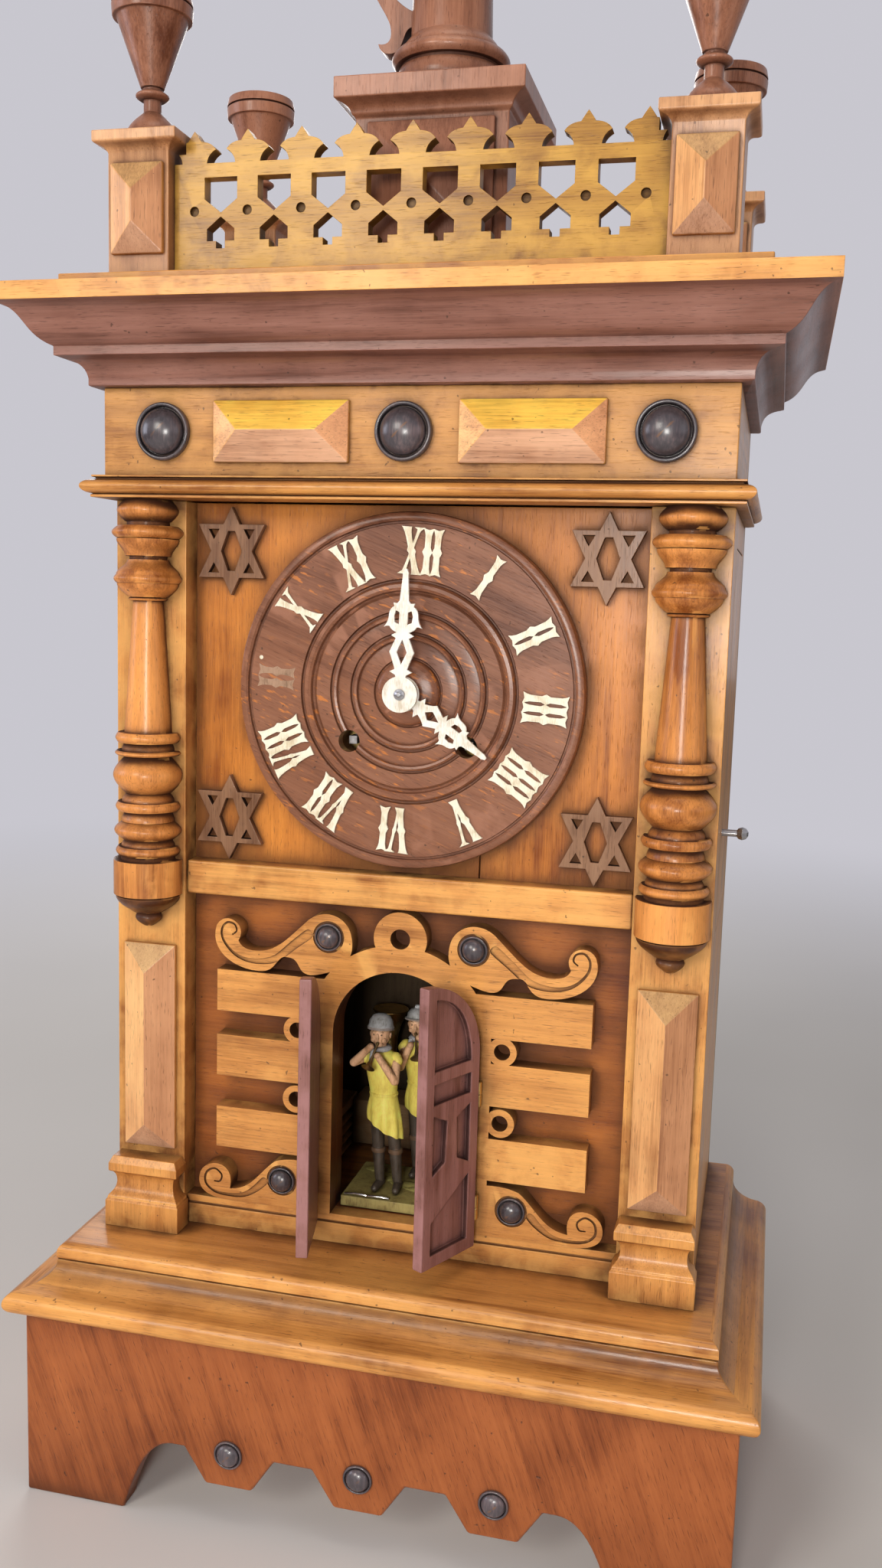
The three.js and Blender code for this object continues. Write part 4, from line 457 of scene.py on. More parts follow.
@made_once
def paint(name, colour, chips=0.5, seed=0.0, dirt_and_shade=0.8, deep=0.5):
    """Thin old paint over carved wood, chipped on the edges, and darkened in the hollows by ingrained dust and
    painted shade.
    """
    f = Finish(name)
    brush = f.noise((0.8, 0.8, 5), 3, 0.2, seed)
    cloud = f.noise((5, 5, 7), 4, 0.3, seed + 0.4)
    shade = f.ramp((brush - 0.5) * 0.6 + cloud, [
        (0.25, scaled(colour, deep, 0.92 * deep, 0.8 * deep)), (0.50, tuple(colour)),
        (0.80, scaled(colour, 1.25, 1.25, 1.3))])
    flake = (f.edge() * 0.55 + cloud * 0.62).between(0.50, 0.66) * chips
    shade = f.mix(flake, shade, BARE_WOOD)
    # Darkened in the hollows: ingrained dust and painted shade.
    shade = f.mix(f.crevice(5).between(0.15, 0.85) * dirt_and_shade, shade, scaled(colour, 0.10, 0.075, 0.06))
    dull = (cloud - 0.5) * 0.3 + flake * 0.15 + 0.50
    return f.surface(
        base_color=shade, roughness=dull, normal=f.bump(brush * 0.6 + cloud - flake, 0.18, 0.5))


@made_once
def hide(name, colour):
    """Soft old leather: pebbled grain, pale worn folds."""
    f = Finish(name)
    place = f.node("ShaderNodeMapping", {"vector_type": "TEXTURE"}, {
        "Vector": f.spot, "Scale": (2.0 * MM, 2.0 * MM, 2.0 * MM)})
    pebble = f.node("ShaderNodeTexVoronoi", {"feature": "DISTANCE_TO_EDGE"}, {"Vector": place, "Scale": 1.0})
    cloud = f.noise((24, 24, 24), 4, 0.3)
    shade = f.ramp(cloud, [
        (0.25, scaled(colour, 0.50, 0.46, 0.42)), (0.50, tuple(colour)), (0.80, scaled(colour, 1.45))])
    shade = f.mix(f.edge() * 0.5, shade, scaled(colour, 1.8, 1.8, 1.7))
    # Dark in the folds and hollows: ingrained dust and painted shade.
    shade = f.mix(f.crevice(10).between(0.15, 0.9) * 0.8, shade, scaled(colour, 0.16))
    dull = (cloud - 0.5) * 0.3 + 0.68
    return f.surface(
        base_color=shade, roughness=dull, normal=f.bump(pebble.between(0, 0.25) + cloud, 0.25, 0.6))


# Outlines, drawn in X and Z

class Pen:
    """Draws an outline point by point."""

    def __init__(self, x, z):
        self.points = [(x, z)]

    def line(self, *points):
        self.points.extend(points)
        return self

    def bend(self, control, end, count=8):
        """Quadratic curve to end."""
        start = self.points[-1]
        for k in range(1, count + 1):
            t = k / count
            self.points.append(tuple(
                (1 - t) ** 2 * a + 2 * t * (1 - t) * b + t * t * c for a, b, c in zip(start, control, end)))
        return self

    def curve(self, first, second, end, count=12):
        """Cubic curve to end."""
        self.points.extend(cubic(self.points[-1], first, second, end, count))
        return self


def cubic(start, first, second, end, count):
    """Points of a cubic curve, without its first."""
    points = []
    for k in range(1, count + 1):
        t = k / count
        s = 1 - t
        points.append(tuple(
            s ** 3 * a + 3 * s * s * t * b + 3 * s * t * t * c + t ** 3 * d
            for a, b, c, d in zip(start, first, second, end)))
    return points


def arc(x, z, radius, first, last, count):
    """Points of an arc, both ends included."""
    step = (last - first) / count
    return [(x + radius * cos(first + k * step), z + radius * sin(first + k * step)) for k in range(count + 1)]


def disc(x, z, radius, count=32):
    return arc(x, z, radius, 0, 2 * pi, count)[:-1]


def rect(x0, x1, z0, z1):
    return [(x0, z0), (x1, z0), (x1, z1), (x0, z1)]


def mirrored(points):
    return [(-x, z) for x, z in points]


def ribbon(line):
    """Outline of a groove that follows a line of (x, z, width) points."""
    near, far = [], []
    for k, (x, z, wide) in enumerate(line):
        (ax, az, _), (bx, bz, _) = line[max(k - 1, 0)], line[min(k + 1, len(line) - 1)]
        reach = wide / 2 / hypot(bx - ax, bz - az)
        near.append((x - (bz - az) * reach, z + (bx - ax) * reach))
        far.append((x + (bz - az) * reach, z - (bx - ax) * reach))
    return near + far[::-1]


def smoothed(knots, parts=4):
    """The same line with more points, so that its bends run round."""
    fine = []
    for k in range(len(knots) - 1):
        four = [knots[min(max(k + j, 0), len(knots) - 1)] for j in (-1, 0, 1, 2)]
        for step in range(parts):
            t = step / parts
            fine.append(tuple(
                0.5 * (2 * b + (c - a) * t + (2 * a - 5 * b + 4 * c - d) * t ** 2
                       + (3 * b - a - 3 * c + d) * t ** 3)
                for a, b, c, d in zip(*four)))
    return [*fine, knots[-1]]


def doorway(radius, bottom):
    return [(-radius, bottom), (radius, bottom)] + arc(0, SPRING_Z, radius, 0, pi, 48)


# Solids: lists of corners and faces, with an optional finish number for each face

def sawn(solids, cuts=(), pockets=(), front=0.0, thick=1.0):
    """Board sawn from joined outlines, pierced by the cuts and sunk by the pockets (outline, depth)."""
    outlines = [*solids, *cuts, *(points for points, _ in pockets)]
    points, loops = [], []
    for drawn in outlines:
        turn = sum(a[0] * b[1] - b[0] * a[1] for a, b in zip(drawn, [*drawn[1:], drawn[0]]))
        ordered = drawn if turn > 0 else drawn[::-1]
        loops.append(list(range(len(points), len(points) + len(ordered))))
        points.extend(Vector(p) for p in ordered)
    plane, _, cells, _, _, covers = delaunay_2d_cdt(points, [], loops, 1, 1e-4)
    solid_count, cut_end = len(solids), len(solids) + len(cuts)
    depth = {}
    for cell, cover in zip(cells, covers):
        inside = any(k < solid_count for k in cover) and not any(solid_count <= k < cut_end for k in cover)
        if inside:
            depth[tuple(cell)] = max([0.0] + [pockets[k - cut_end][1] for k in cover if k >= cut_end])
    sides, levels = {}, {}
    for cell, sunk in depth.items():
        for a, b in zip(cell, (*cell[1:], cell[0])):
            sides.setdefault(frozenset((a, b)), []).append((sunk, a, b))
            levels.setdefault(a, {thick}).add(sunk)
    corners, faces, place = [], [], {}

    def corner(v, level):
        if (v, level) not in place:
            place[v, level] = len(corners)
            corners.append((plane[v].x, front + level, plane[v].y))
        return place[v, level]

    for cell, sunk in depth.items():
        faces.append([corner(v, sunk) for v in cell])
        faces.append([corner(v, thick) for v in reversed(cell)])
    for meeting in sides.values():
        top, a, b = min(meeting)
        bottom = max(meeting)[0] if len(meeting) > 1 else thick
        if top < bottom:
            down = [corner(a, k) for k in sorted(levels[a]) if top <= k <= bottom]
            rise = [corner(b, k) for k in sorted(levels[b], reverse=True) if top <= k <= bottom]
            faces.append(down + rise)
    return corners, faces


def loft(levels):
    """Stack of rectangles [x0, x1, y0, y1, z]; the front and the top take finish 0, the ends finish 1."""
    corners, faces, tags = [], [], []
    for k, (x0, x1, y0, y1, z) in enumerate(levels):
        corners += [(x0, y0, z), (x1, y0, z), (x1, y1, z), (x0, y1, z)]
        if k:
            for i in range(4):
                a, b = 4 * (k - 1) + i, 4 * (k - 1) + (i + 1) % 4
                faces.append((a, b, b + 4, a + 4))
                tags.append(i % 2)
    last = 4 * (len(levels) - 1)
    faces += [(3, 2, 1, 0), (last, last + 1, last + 2, last + 3)]
    return corners, faces, tags + [0, 0]


def board(x0, x1, y0, y1, z0, z1):
    return loft([(x0, x1, y0, y1, z0), (x0, x1, y0, y1, z1)])


def slab(profile, front, back, base):
    """Board with moulded front and ends; the profile holds (out, height) points."""
    return loft([(-HALF - out, HALF + out, front - out, back, base + z) for out, z in profile])


def plinthed(profile, x, y, half_x, half_y, base):
    """Block with the same moulding on its four sides."""
    return loft([
        (x - half_x - out, x + half_x + out, y - half_y - out, y + half_y + out, base + z)
        for out, z in profile])


def moulded(profile, front, back, base):
    """Moulded run round the front and both ends, mitred at the corners; finish 0 in front, 1 at the ends."""
    section = [(out, base + z) for out, z in profile]
    section += [(-RUN_WALL, section[-1][1]), (-RUN_WALL, section[0][1])]
    corners, faces, tags = [], [], []
    for out, z in section:
        x, y = HALF + out, front - out
        corners += [(-x, back, z), (-x, y, z), (x, y, z), (x, back, z)]
    count = len(section)
    for i in range(count):
        j = (i + 1) % count
        for k in range(3):
            faces.append((4 * i + k, 4 * i + k + 1, 4 * j + k + 1, 4 * j + k))
            tags.append(0 if k == 1 else 1)
    faces += [[4 * i for i in range(count)], [4 * i + 3 for i in reversed(range(count))]]
    return corners, faces, tags + [1, 1]


def hipped(x, y, z, width, height, edge=3.5, rise=8.0):
    """Raised panel with hipped sides, its back at y and its nose towards the front.

    Finish 0 is on its square edge, 1 to 4 on the facets below, on the right, above and on the left.
    """
    w, h = width / 2, height / 2
    ridge = abs(h - w)
    rx, rz = (0, ridge) if h > w else (ridge, 0)
    corners = []
    for depth in (0, -edge):
        corners += [(x - w, y + depth, z - h), (x + w, y + depth, z - h),
                    (x + w, y + depth, z + h), (x - w, y + depth, z + h)]
    top = y - edge - rise
    corners += [(x - rx, top, z - rz), (x + rx, top, z + rz)]
    faces = [(0, 3, 2, 1)] + [(i, (i + 1) % 4, (i + 1) % 4 + 4, i + 4) for i in range(4)]
    if h > w:
        faces += [(4, 5, 8), (5, 6, 9, 8), (6, 7, 9), (7, 4, 8, 9)]
    else:
        faces += [(4, 5, 9, 8), (5, 6, 9), (6, 7, 8, 9), (7, 4, 8)]
    return corners, faces, [0, 0, 0, 0, 0, 1, 2, 3, 4]


def tagged(solid, chosen):
    """The same solid with finish 1 on the faces that are chosen by their middle and their normal."""
    corners, faces = solid
    tags = []
    for face in faces:
        points = [Vector(corners[i]) for i in face]
        tags.append(int(chosen(sum(points, Vector()) / len(points), normal(points))))
    return corners, faces, tags


def lined(solid, inward):
    """Finish 1 on the faces that look inwards."""
    return tagged(solid, lambda _, outward: outward.dot(Vector(inward)) > 0.5)


def jambed(solid):
    """Finish 1 on the faces that line the doorway."""
    def jamb(middle, outward):
        reach = hypot(middle.x, max(middle.z - SPRING_Z, 0))
        return abs(outward.y) < 0.5 and middle.z > SILL_TOP + 1 and reach < ARCH_R + 0.5
    return tagged(solid, jamb)


def tube(rings):
    """Skin over rings of as many points each, closed at both ends."""
    count, last = len(rings[0]), len(rings) - 1
    faces = []
    for foot in range(0, last * count, count):
        for i in range(count):
            j = (i + 1) % count
            faces.append((foot + i, foot + j, foot + count + j, foot + count + i))
    faces += [list(range(count))[::-1], list(range(last * count, (last + 1) * count))]
    return [corner for ring in rings for corner in ring], faces


FORMS = {
    "line": lambda t: t,
    "bead": lambda t: sin(pi * t),
    "swell": lambda t: sin(pi * t / 2),
    "hollow": lambda t: 1 - cos(pi * t / 2),
    "ogee": lambda t: (1 - cos(pi * t)) / 2,
}


def turning(members):
    """Profile (radius, height) of a stack of turned members (form, height, first radius, second radius)."""
    points, height = [(0.0, 0.0)], 0.0
    for form, rise, first, last in members:
        steps = 1 if form == "line" else max(8, round(rise * 1.2))
        for k in range(steps + 1):
            t = k / steps
            point = (first + (last - first) * FORMS[form](t), height + rise * t)
            if dist(point, points[-1]) > 1e-5:
                points.append(point)
        height += rise
    return points + [(0.0, height)] if points[-1][0] > 1e-6 else points


def dome(radius, height):
    """Profile of a round boss: a rounded rim, a groove and a dome."""
    foot, rim, inner = 1.0, 0.15 * radius, 0.80 * radius
    low_rim = foot + 0.16 * radius
    points = [(0, 0), (radius, 0), (radius, low_rim - 0.5 * rim)]
    points += [(radius - rim / 2 + rim / 2 * cos(a), low_rim - 0.5 * rim + 0.55 * rim * sin(a))
               for a in (k * pi / 8 for k in range(1, 8))]
    points += [(inner + 0.03 * radius, foot + 0.02 * radius), (inner, foot + 0.02 * radius)]
    points += [(inner * cos(a), foot + 0.06 * radius + (height - foot - 0.06 * radius) * sin(a))
               for a in (k * pi / 24 for k in range(12))]
    return points + [(0, height)]


def lathe(profile, facets, ring=False):
    """Turned solid about Z; a ring's profile closes on itself away from the axis."""
    corners, faces, rounds = [], [], []
    for radius, height in profile:
        first = len(corners)
        if radius < 1e-6:
            corners.append((0, 0, height))
            rounds.append([first] * facets)
        else:
            turns = [2 * pi * (k + 0.5) / facets for k in range(facets)]
            corners += [(radius * cos(a), radius * sin(a), height) for a in turns]
            rounds.append(list(range(first, first + facets)))
    pairs = zip(rounds, rounds[1:] + rounds[:1]) if ring else zip(rounds, rounds[1:])
    for lower, upper in pairs:
        for k in range(facets):
            j = (k + 1) % facets
            face = list(dict.fromkeys((lower[k], lower[j], upper[j], upper[k])))
            if len(face) > 2:
                faces.append(face)
    return corners, faces


def planed(solid, plane):
    """The solid with everything behind a plane of Y pressed flat onto it."""
    corners, *rest = solid
    return [(x, min(y, plane), z) for x, y, z in corners], *rest


def moved(solid, matrix):
    corners, *rest = solid
    return [tuple(matrix @ Vector(c)) for c in corners], *rest


def facing(*spot):
    """Turns what stands on a spot to face the front."""
    return Matrix.Translation(spot) @ FORWARD


def aimed(start, axis):
    """Turns what stands up along an axis from its start."""
    return Matrix.Translation(start) @ UP.rotation_difference(axis).to_matrix().to_4x4()


def limb(start, end, first, last, facets=20, caps=4):
    """Round limb between two points, with rounded ends."""
    axis = Vector(end) - Vector(start)
    turns = [k * pi / 2 / caps for k in range(caps + 1)]
    profile = [(first * sin(a), -first * cos(a)) for a in turns]
    profile += [(last * cos(a), axis.length + last * sin(a)) for a in turns]
    return moved(lathe(profile, facets), aimed(start, axis))


def ball(centre, radii, facets, rings):
    profile = [(sin(k * pi / rings), -cos(k * pi / rings)) for k in range(rings + 1)]
    profile[0], profile[-1] = (0, -1), (0, 1)
    return moved(lathe(profile, facets), Matrix.Translation(centre) @ Matrix.Diagonal((*radii, 1)))


def rod(x, z, radius, y0, y1):
    """Round bar along Y."""
    return moved(lathe([(0, 0), (radius, 0), (radius, y1 - y0), (0, y1 - y0)], 32), facing(x, y1, z))


def carried(node):
    """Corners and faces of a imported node, with its triangles joined into flat faces."""
    work = bmesh.new()
    work.from_mesh(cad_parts[node].data)
    bmesh.ops.remove_doubles(work, verts=work.verts, dist=1e-6)
    bmesh.ops.dissolve_limit(work, angle_limit=radians(1), verts=work.verts, edges=work.edges)
    work.verts.index_update()
    corners = [tuple(v.co / MM) for v in work.verts]
    faces = [[v.index for v in face.verts] for face in work.faces]
    work.free()
    return corners, faces


def plain_mesh(obj):
    """Leaves the object with the mesh that its modifiers make, and no modifiers."""
    seen = obj.evaluated_get(bpy.context.evaluated_depsgraph_get())
    mesh = bpy.data.meshes.new_from_object(seen)
    obj.modifiers.clear()
    obj.data = mesh
    return obj


class Workpiece:
    """Solids that become one named object."""

    def __init__(self, name):
        self.name, self.work, self.finishes = name, bmesh.new(), []

    def add(self, solid, *finishes, at=None):
        """Adds a solid in one finish, or in one finish for each of its face tags."""
        corners, faces, *tags = moved(solid, at) if at else solid
        for finish in finishes:
            if finish not in self.finishes:
                self.finishes.append(finish)
        made = [self.work.verts.new(c) for c in corners]
        fresh = []
        for k, face in enumerate(faces):
            face = self.work.faces.new([made[i] for i in face])
            tag = tags[0][k] if tags and len(finishes) > 1 else 0
            face.material_index = self.finishes.index(finishes[tag])
            fresh.append(face)
        bmesh.ops.recalc_face_normals(self.work, faces=fresh)
        return self

    def raw(self):
        """Object in metres with nothing rounded yet."""
        bmesh.ops.scale(self.work, vec=(MM, MM, MM), verts=self.work.verts)
        mesh = bpy.data.meshes.new(self.name)
        self.work.to_mesh(mesh)
        self.work.free()
        for finish in self.finishes:
            mesh.materials.append(finish)
        mesh.shade_smooth()
        obj = bpy.data.objects.new(self.name, mesh)
        bpy.context.scene.collection.objects.link(obj)
        return obj

    def settle(self, body, slot, *nodes, worn=1, crisp=0, bore=None, angle=33, segments=2):
        """Finished object: bored, its edges rounded, and riding on its body in place of the nodes.

        The rounding is counted in worn edges, or in crisp edges where crisp is given.
        """
        sizes = bpy.context.scene.clock_sizes
        edge = crisp * sizes.crisp_edge or worn * sizes.worn_edge
        obj = self.raw()
        if bore:
            cutter = bore.raw()
            drill = obj.modifiers.new("Bored", "BOOLEAN")
            drill.operation, drill.solver, drill.object = "DIFFERENCE", "EXACT", cutter
            plain_mesh(obj)
            bpy.data.objects.remove(cutter)
        if edge:
            bevel = obj.modifiers.new("Worn edges", "BEVEL")
            bevel.width, bevel.segments, bevel.limit_method = edge, segments, "ANGLE"
            bevel.angle_limit, bevel.harden_normals = radians(angle), True
            plain_mesh(obj)
        else:
            obj.data.set_sharp_from_angle(angle=radians(angle))
        return place(obj, body, slot, *nodes)


def place(obj, body, slot, *nodes):
    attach(obj, body)
    if nodes:
        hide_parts(*nodes)
    return obj


def redress(name, node, finish, body, slot, **rounding):
    """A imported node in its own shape, with a finish and rounded edges."""
    Workpiece(name).add(carried(node), finish).settle(body, slot, node, **rounding)


# Geometry Nodes trees

class Repeater(Graph):
    """A Geometry Nodes tree that puts copies of a piece in place; its inputs are wires by name."""

    def __init__(self, name, **inputs):
        super().__init__(bpy.data.node_groups.new(name, "GeometryNodeTree"))
        for label, kind in inputs.items():
            self.tree.interface.new_socket(label, in_out="INPUT", socket_type=f"NodeSocket{kind}")
        self.tree.interface.new_socket("Geometry", in_out="OUTPUT", socket_type="NodeSocketGeometry")
        entry = self.tree.nodes.new("NodeGroupInput")
        self.given = {label: Wire(self, entry.outputs[label]) for label in inputs}

    def end(self, points, piece, **more):
        """Ends the tree in real copies of the piece on the points, with their finish set."""
        copies = self.node(
            "GeometryNodeInstanceOnPoints", sockets={"Points": points, "Instance": piece, **more})
        real = self.node("GeometryNodeRealizeInstances", sockets={0: copies})
        dressed = self.node(
            "GeometryNodeSetMaterial", sockets={"Geometry": real, "Material": self.given["finish"]})
        self.node("NodeGroupOutput", sockets={0: dressed})
        return self.tree


def row_tree():
    """A piece repeated along a straight row."""
    g = Repeater(
        "Row of pieces", piece="Object", count="Int", start="Vector", pitch="Vector", finish="Material")
    line = g.node("GeometryNodeMeshLine", {"mode": "OFFSET"}, {
        "Count": g.given["count"], "Start Location": g.given["start"], "Offset": g.given["pitch"]})
    piece = g.node("GeometryNodeObjectInfo", sockets={"Object": g.given["piece"]}, out="Geometry")
    return g.end(line, piece)


def pin_tree():
    """Short pins set round a barrel that lies along X, in even tracks and at seeded places."""
    g = Repeater(
        "Pins on a barrel", count="Int", radius="Float", span="Float", tracks="Int", pin_radius="Float",
        pin_length="Float", centre="Vector", seed="Int", finish="Material")
    given = g.given
    points = g.node("GeometryNodePoints", sockets={"Count": given["count"]})
    track = g.node("FunctionNodeRandomValue", {"data_type": "INT"}, {
        4: 0, 5: given["tracks"], "Seed": given["seed"]}, out=2)
    angle = g.node("FunctionNodeRandomValue", {"data_type": "FLOAT"}, {
        2: 0.0, 3: 2 * pi, "Seed": given["seed"]}, out=1)
    spot = g.node("ShaderNodeCombineXYZ", sockets={
        "X": (track / given["tracks"] - 0.5) * given["span"], "Y": angle.cosine() * given["radius"],
        "Z": angle.sine() * given["radius"]})
    where = g.node("ShaderNodeVectorMath", {"operation": "ADD"}, {0: spot, 1: given["centre"]})
    spread = g.node("GeometryNodeSetPosition", sockets={"Geometry": points, "Position": where})
    pin = g.node("GeometryNodeMeshCylinder", sockets={
        "Vertices": 6, "Radius": given["pin_radius"], "Depth": given["pin_length"]})
    lean = g.node("ShaderNodeCombineXYZ", sockets={"X": angle - pi / 2})
    return g.end(spread, pin, Rotation=lean)


def grown(name, tree, **inputs):
    """Plain mesh object made by a tree, its inputs given by name."""
    obj = bpy.data.objects.new(name, bpy.data.meshes.new(name))
    bpy.context.scene.collection.objects.link(obj)
    modifier = obj.modifiers.new(name, "NODES")
    modifier.node_group = tree
    for item in tree.interface.items_tree:
        if item.in_out == "INPUT":
            modifier[item.identifier] = inputs[item.name]
    plain_mesh(obj)
    obj.data.shade_smooth()
    obj.data.set_sharp_from_angle(angle=radians(40))
    return obj


# Finishes that several pieces share

def colours():
    return bpy.context.scene.clock_colours


# Colour that each timber starts from, its tint, and what sets its finish apart
AS_IS = 1, 1, 1
TIMBERS = {
    "walnut": ("walnut", AS_IS, {}),
    "frieze_walnut": ("walnut", (0.82, 0.84, 0.84), {}),
    "fret_walnut": ("walnut", (0.74, 0.86, 0.50), {}),
    # The columns get the strongest darkening in the hollows between their beads: ingrained dust and painted
    # shade.
    "column_walnut": ("walnut", (1.0, 0.88, 0.84), {"grime_and_shade": 1.4, "wear": 0.6, "reach": 13}),
    "panel_walnut": ("panel", AS_IS, {}),
    # Darker walnut for the lower panel: painted shade of its recess behind the fretwork.
    "lower_walnut": ("panel", (0.66, 0.58, 0.62), {}),
    # Near-black walnut for the faces that line the doorway: painted shadow.
    "jamb_walnut": ("panel", (0.20, 0.17, 0.30), {}),
    "umber_walnut": ("umber", AS_IS, {}),
    "cornice_walnut": ("umber", (0.74, 0.76, 0.95), {}),
    "apron_walnut": ("apron", AS_IS, {}),
    "pedestal_walnut": ("pedestal", AS_IS, {}),
    "star_walnut": ("star", AS_IS, {"grime_and_shade": 0.95, "wear": 0.9, "reach": 5}),
    "door_walnut": ("door", AS_IS, {"wear": 0.8}),
    "dial_walnut": ("dial", AS_IS, {
        "tilt": radians(22), "wear": 0.8, "figure": 0.85, "reach": 4, "grime_and_shade": 0.42, "flecks": 0.9}),
    "pine": ("pine", AS_IS, {"polish": 0.62, "wear": 0.2, "figure": 0.45}),
    # Near-black pine on the faces inside the case: painted shade.
    "sooty_pine": ("pine", (0.16, 0.16, 0.16), {"polish": 0.7, "wear": 0.1}),
}

# Tints of a hipped panel's edge and facets: painted light and shade, lighter on the left, darker below and on
# the right, with a painted bluish reflection; the top is dim and bluish, or lit golden where sunny.
EDGE_TINT, LOWER_SHADE_AND_REFLECTION, RIGHT_SHADE_AND_REFLECTION, LEFT_LIGHT_AND_REFLECTION = AS_IS, (0.78, 0.96, 2.2), (0.78, 0.82, 1.5), (1.14, 1.30, 2.0)
SHADED_TOP, SUNNY_TOP = (0.80, 1.02, 1.60), (1.24, 1.44, 0.90)


def timber(name, grain, seed, **more):
    colour, tint, apart = TIMBERS[name]
    return wood(name, scaled(getattr(colours(), colour), *tint), grain, seed, **apart, **more)


def lit_and_shaded_facets(grain, seed, lift=1.0, top=SHADED_TOP):
    """Finishes of a hipped panel, in the order of its face tags: lit and shaded copies of one walnut, painted
    light and shade on each facet, all scaled by lift.
    """
    return [
        wood(f"facet_{k}_walnut", scaled(scaled(colours().walnut, *tint), lift), grain, seed,
             grime_and_shade=0.55 if k == 0 else 0.3, figure=0.7)
        for k, tint in enumerate((EDGE_TINT, LOWER_SHADE_AND_REFLECTION, RIGHT_SHADE_AND_REFLECTION, top, LEFT_LIGHT_AND_REFLECTION))]


def ebony(name, lift):
    return ebonised(name, scaled(colours().ebony, lift))


def brass():
    return metal("old_brass", colours().brass, (0.17, 0.105, 0.040), 0.34)


def steel():
    return metal("old_steel", colours().steel, (0.085, 0.062, 0.050), 0.30, 0.3)


class ClockMaker:
    """What every operator of the clock shares."""

    bl_options = {"REGISTER", "UNDO"}

    @property
    def sizes(self):
        return bpy.context.scene.clock_sizes

    def turned(self, members, facets=None):
        return lathe(turning(members), facets or self.sizes.turning_facets)


class MakeStage(ClockMaker, bpy.types.Operator):
    """Pale floor, soft lights, pale room and the camera"""

    bl_idname = "clock.make_stage"
    bl_label = "Stage"

    pale = 0.58, 0.57, 0.62
    floor_reach = 9000
    aim = 0, 0, 0.42

    # Place, size, power and tint of each lamp
    lamps = {
        "key_light": ((-0.80, -1.98, 1.25), 0.7, 18, (1.0, 0.95, 0.86)),
        "side_light": ((-1.90, -0.55, 0.90), 0.8, 8, (0.82, 0.84, 1.0)),
        "fill_light": ((1.80, -0.80, 0.80), 1.0, 2.5, (0.90, 0.91, 1.0)),
        "front_light": ((0.16, -1.50, 0.56), 0.3, 11, (1.0, 0.97, 0.92)),
        "top_light": ((0.2, -0.45, 2.2), 0.9, 6, (1.0, 0.90, 0.78)),
        "back_light": ((-0.80, 1.9, 1.3), 1.0, 15, (1.0, 0.97, 0.93)),
    }

    def lay_floor(self):
        """Pale paper that fades into the room far off."""
        f = Finish("pale_paper")
        shade = f.ramp(f.noise((400, 400, 400), 2), [(0.3, (0.70, 0.68, 0.67)), (0.7, (0.74, 0.72, 0.71))])
        off = f.node("ShaderNodeVectorMath", {"operation": "LENGTH"}, {0: f.spot}, out="Value")
        seen = f.node("ShaderNodeLightPath", out="Is Camera Ray")
        near = f.node("ShaderNodeBsdfPrincipled", sockets={"Base Color": shade, "Roughness": 0.85})
        far = f.node("ShaderNodeEmission", sockets={"Color": self.pale, "Strength": 1.0})
        blend = f.node("ShaderNodeMixShader", sockets={0: off.between(0.7, 2.4) * seen, 1: near, 2: far})
        f.node("ShaderNodeOutputMaterial", sockets={"Surface": blend})
        reach = self.floor_reach
        corners = [(x, y, 0) for x, y in rect(-reach, reach, -reach, reach)]
        Workpiece("pale_floor").add((corners, [(0, 1, 2, 3)]), f.material).raw()

    def hang_lamps(self, scene):
        for name, (spot, size, power, tint) in self.lamps.items():
            lamp = bpy.data.lights.new(name, "AREA")
            lamp.shape, lamp.size, lamp.energy, lamp.color = "SQUARE", size, power, tint
            holder = bpy.data.objects.new(name, lamp)
            holder.location = spot
            holder.rotation_euler = (Vector(self.aim) - Vector(spot)).to_track_quat("-Z", "Y").to_euler()
            scene.collection.objects.link(holder)

    def paint_room(self, scene):
        """Dim light from all round, behind a wall that only the camera and reflections see."""
        scene.world = bpy.data.worlds.new("soft_room")
        room = Finish("soft_room", scene.world)
        camera, glossy, through = (
            room.node("ShaderNodeLightPath", out=f"Is {kind} Ray")
            for kind in ("Camera", "Glossy", "Transmission"))
        soft = room.node("ShaderNodeBackground", sockets={"Color": (0.90, 0.89, 0.92), "Strength": 0.10})
        wall = room.node("ShaderNodeBackground", sockets={"Color": self.pale, "Strength": 1.0})
        blend = room.node("ShaderNodeMixShader", sockets={0: camera + glossy + through, 1: soft, 2: wall})
        room.node("ShaderNodeOutputWorld", sockets={"Surface": blend})

    def set_camera(self, scene):
        yaw, pitch, roll = CAMERA_TURN
        ahead = Vector((-sin(yaw) * cos(pitch), cos(yaw) * cos(pitch), sin(pitch)))
        right = Vector((cos(yaw), sin(yaw), 0))
        up = right.cross(ahead)
        across = right * cos(roll) + up * sin(roll)
        over = up * cos(roll) - right * sin(roll)
        eye = bpy.data.cameras.new("photo_camera")
        eye.sensor_fit, eye.sensor_height = "VERTICAL", SENSOR_H
        eye.lens = CAMERA_FOCUS * SENSOR_H / PICTURE_H
        camera = bpy.data.objects.new("photo_camera", eye)
        turn = Matrix((across, over, -ahead)).transposed().to_4x4()
        camera.matrix_world = Matrix.Translation(CAMERA_AT) @ turn
        scene.collection.objects.link(camera)
        scene.camera = camera

    def execute(self, context):
        scene = context.scene
        scene.view_settings.view_transform = "Standard"
        self.lay_floor()
        self.hang_lamps(scene)
        self.paint_room(scene)
        self.set_camera(scene)
        return {"FINISHED"}


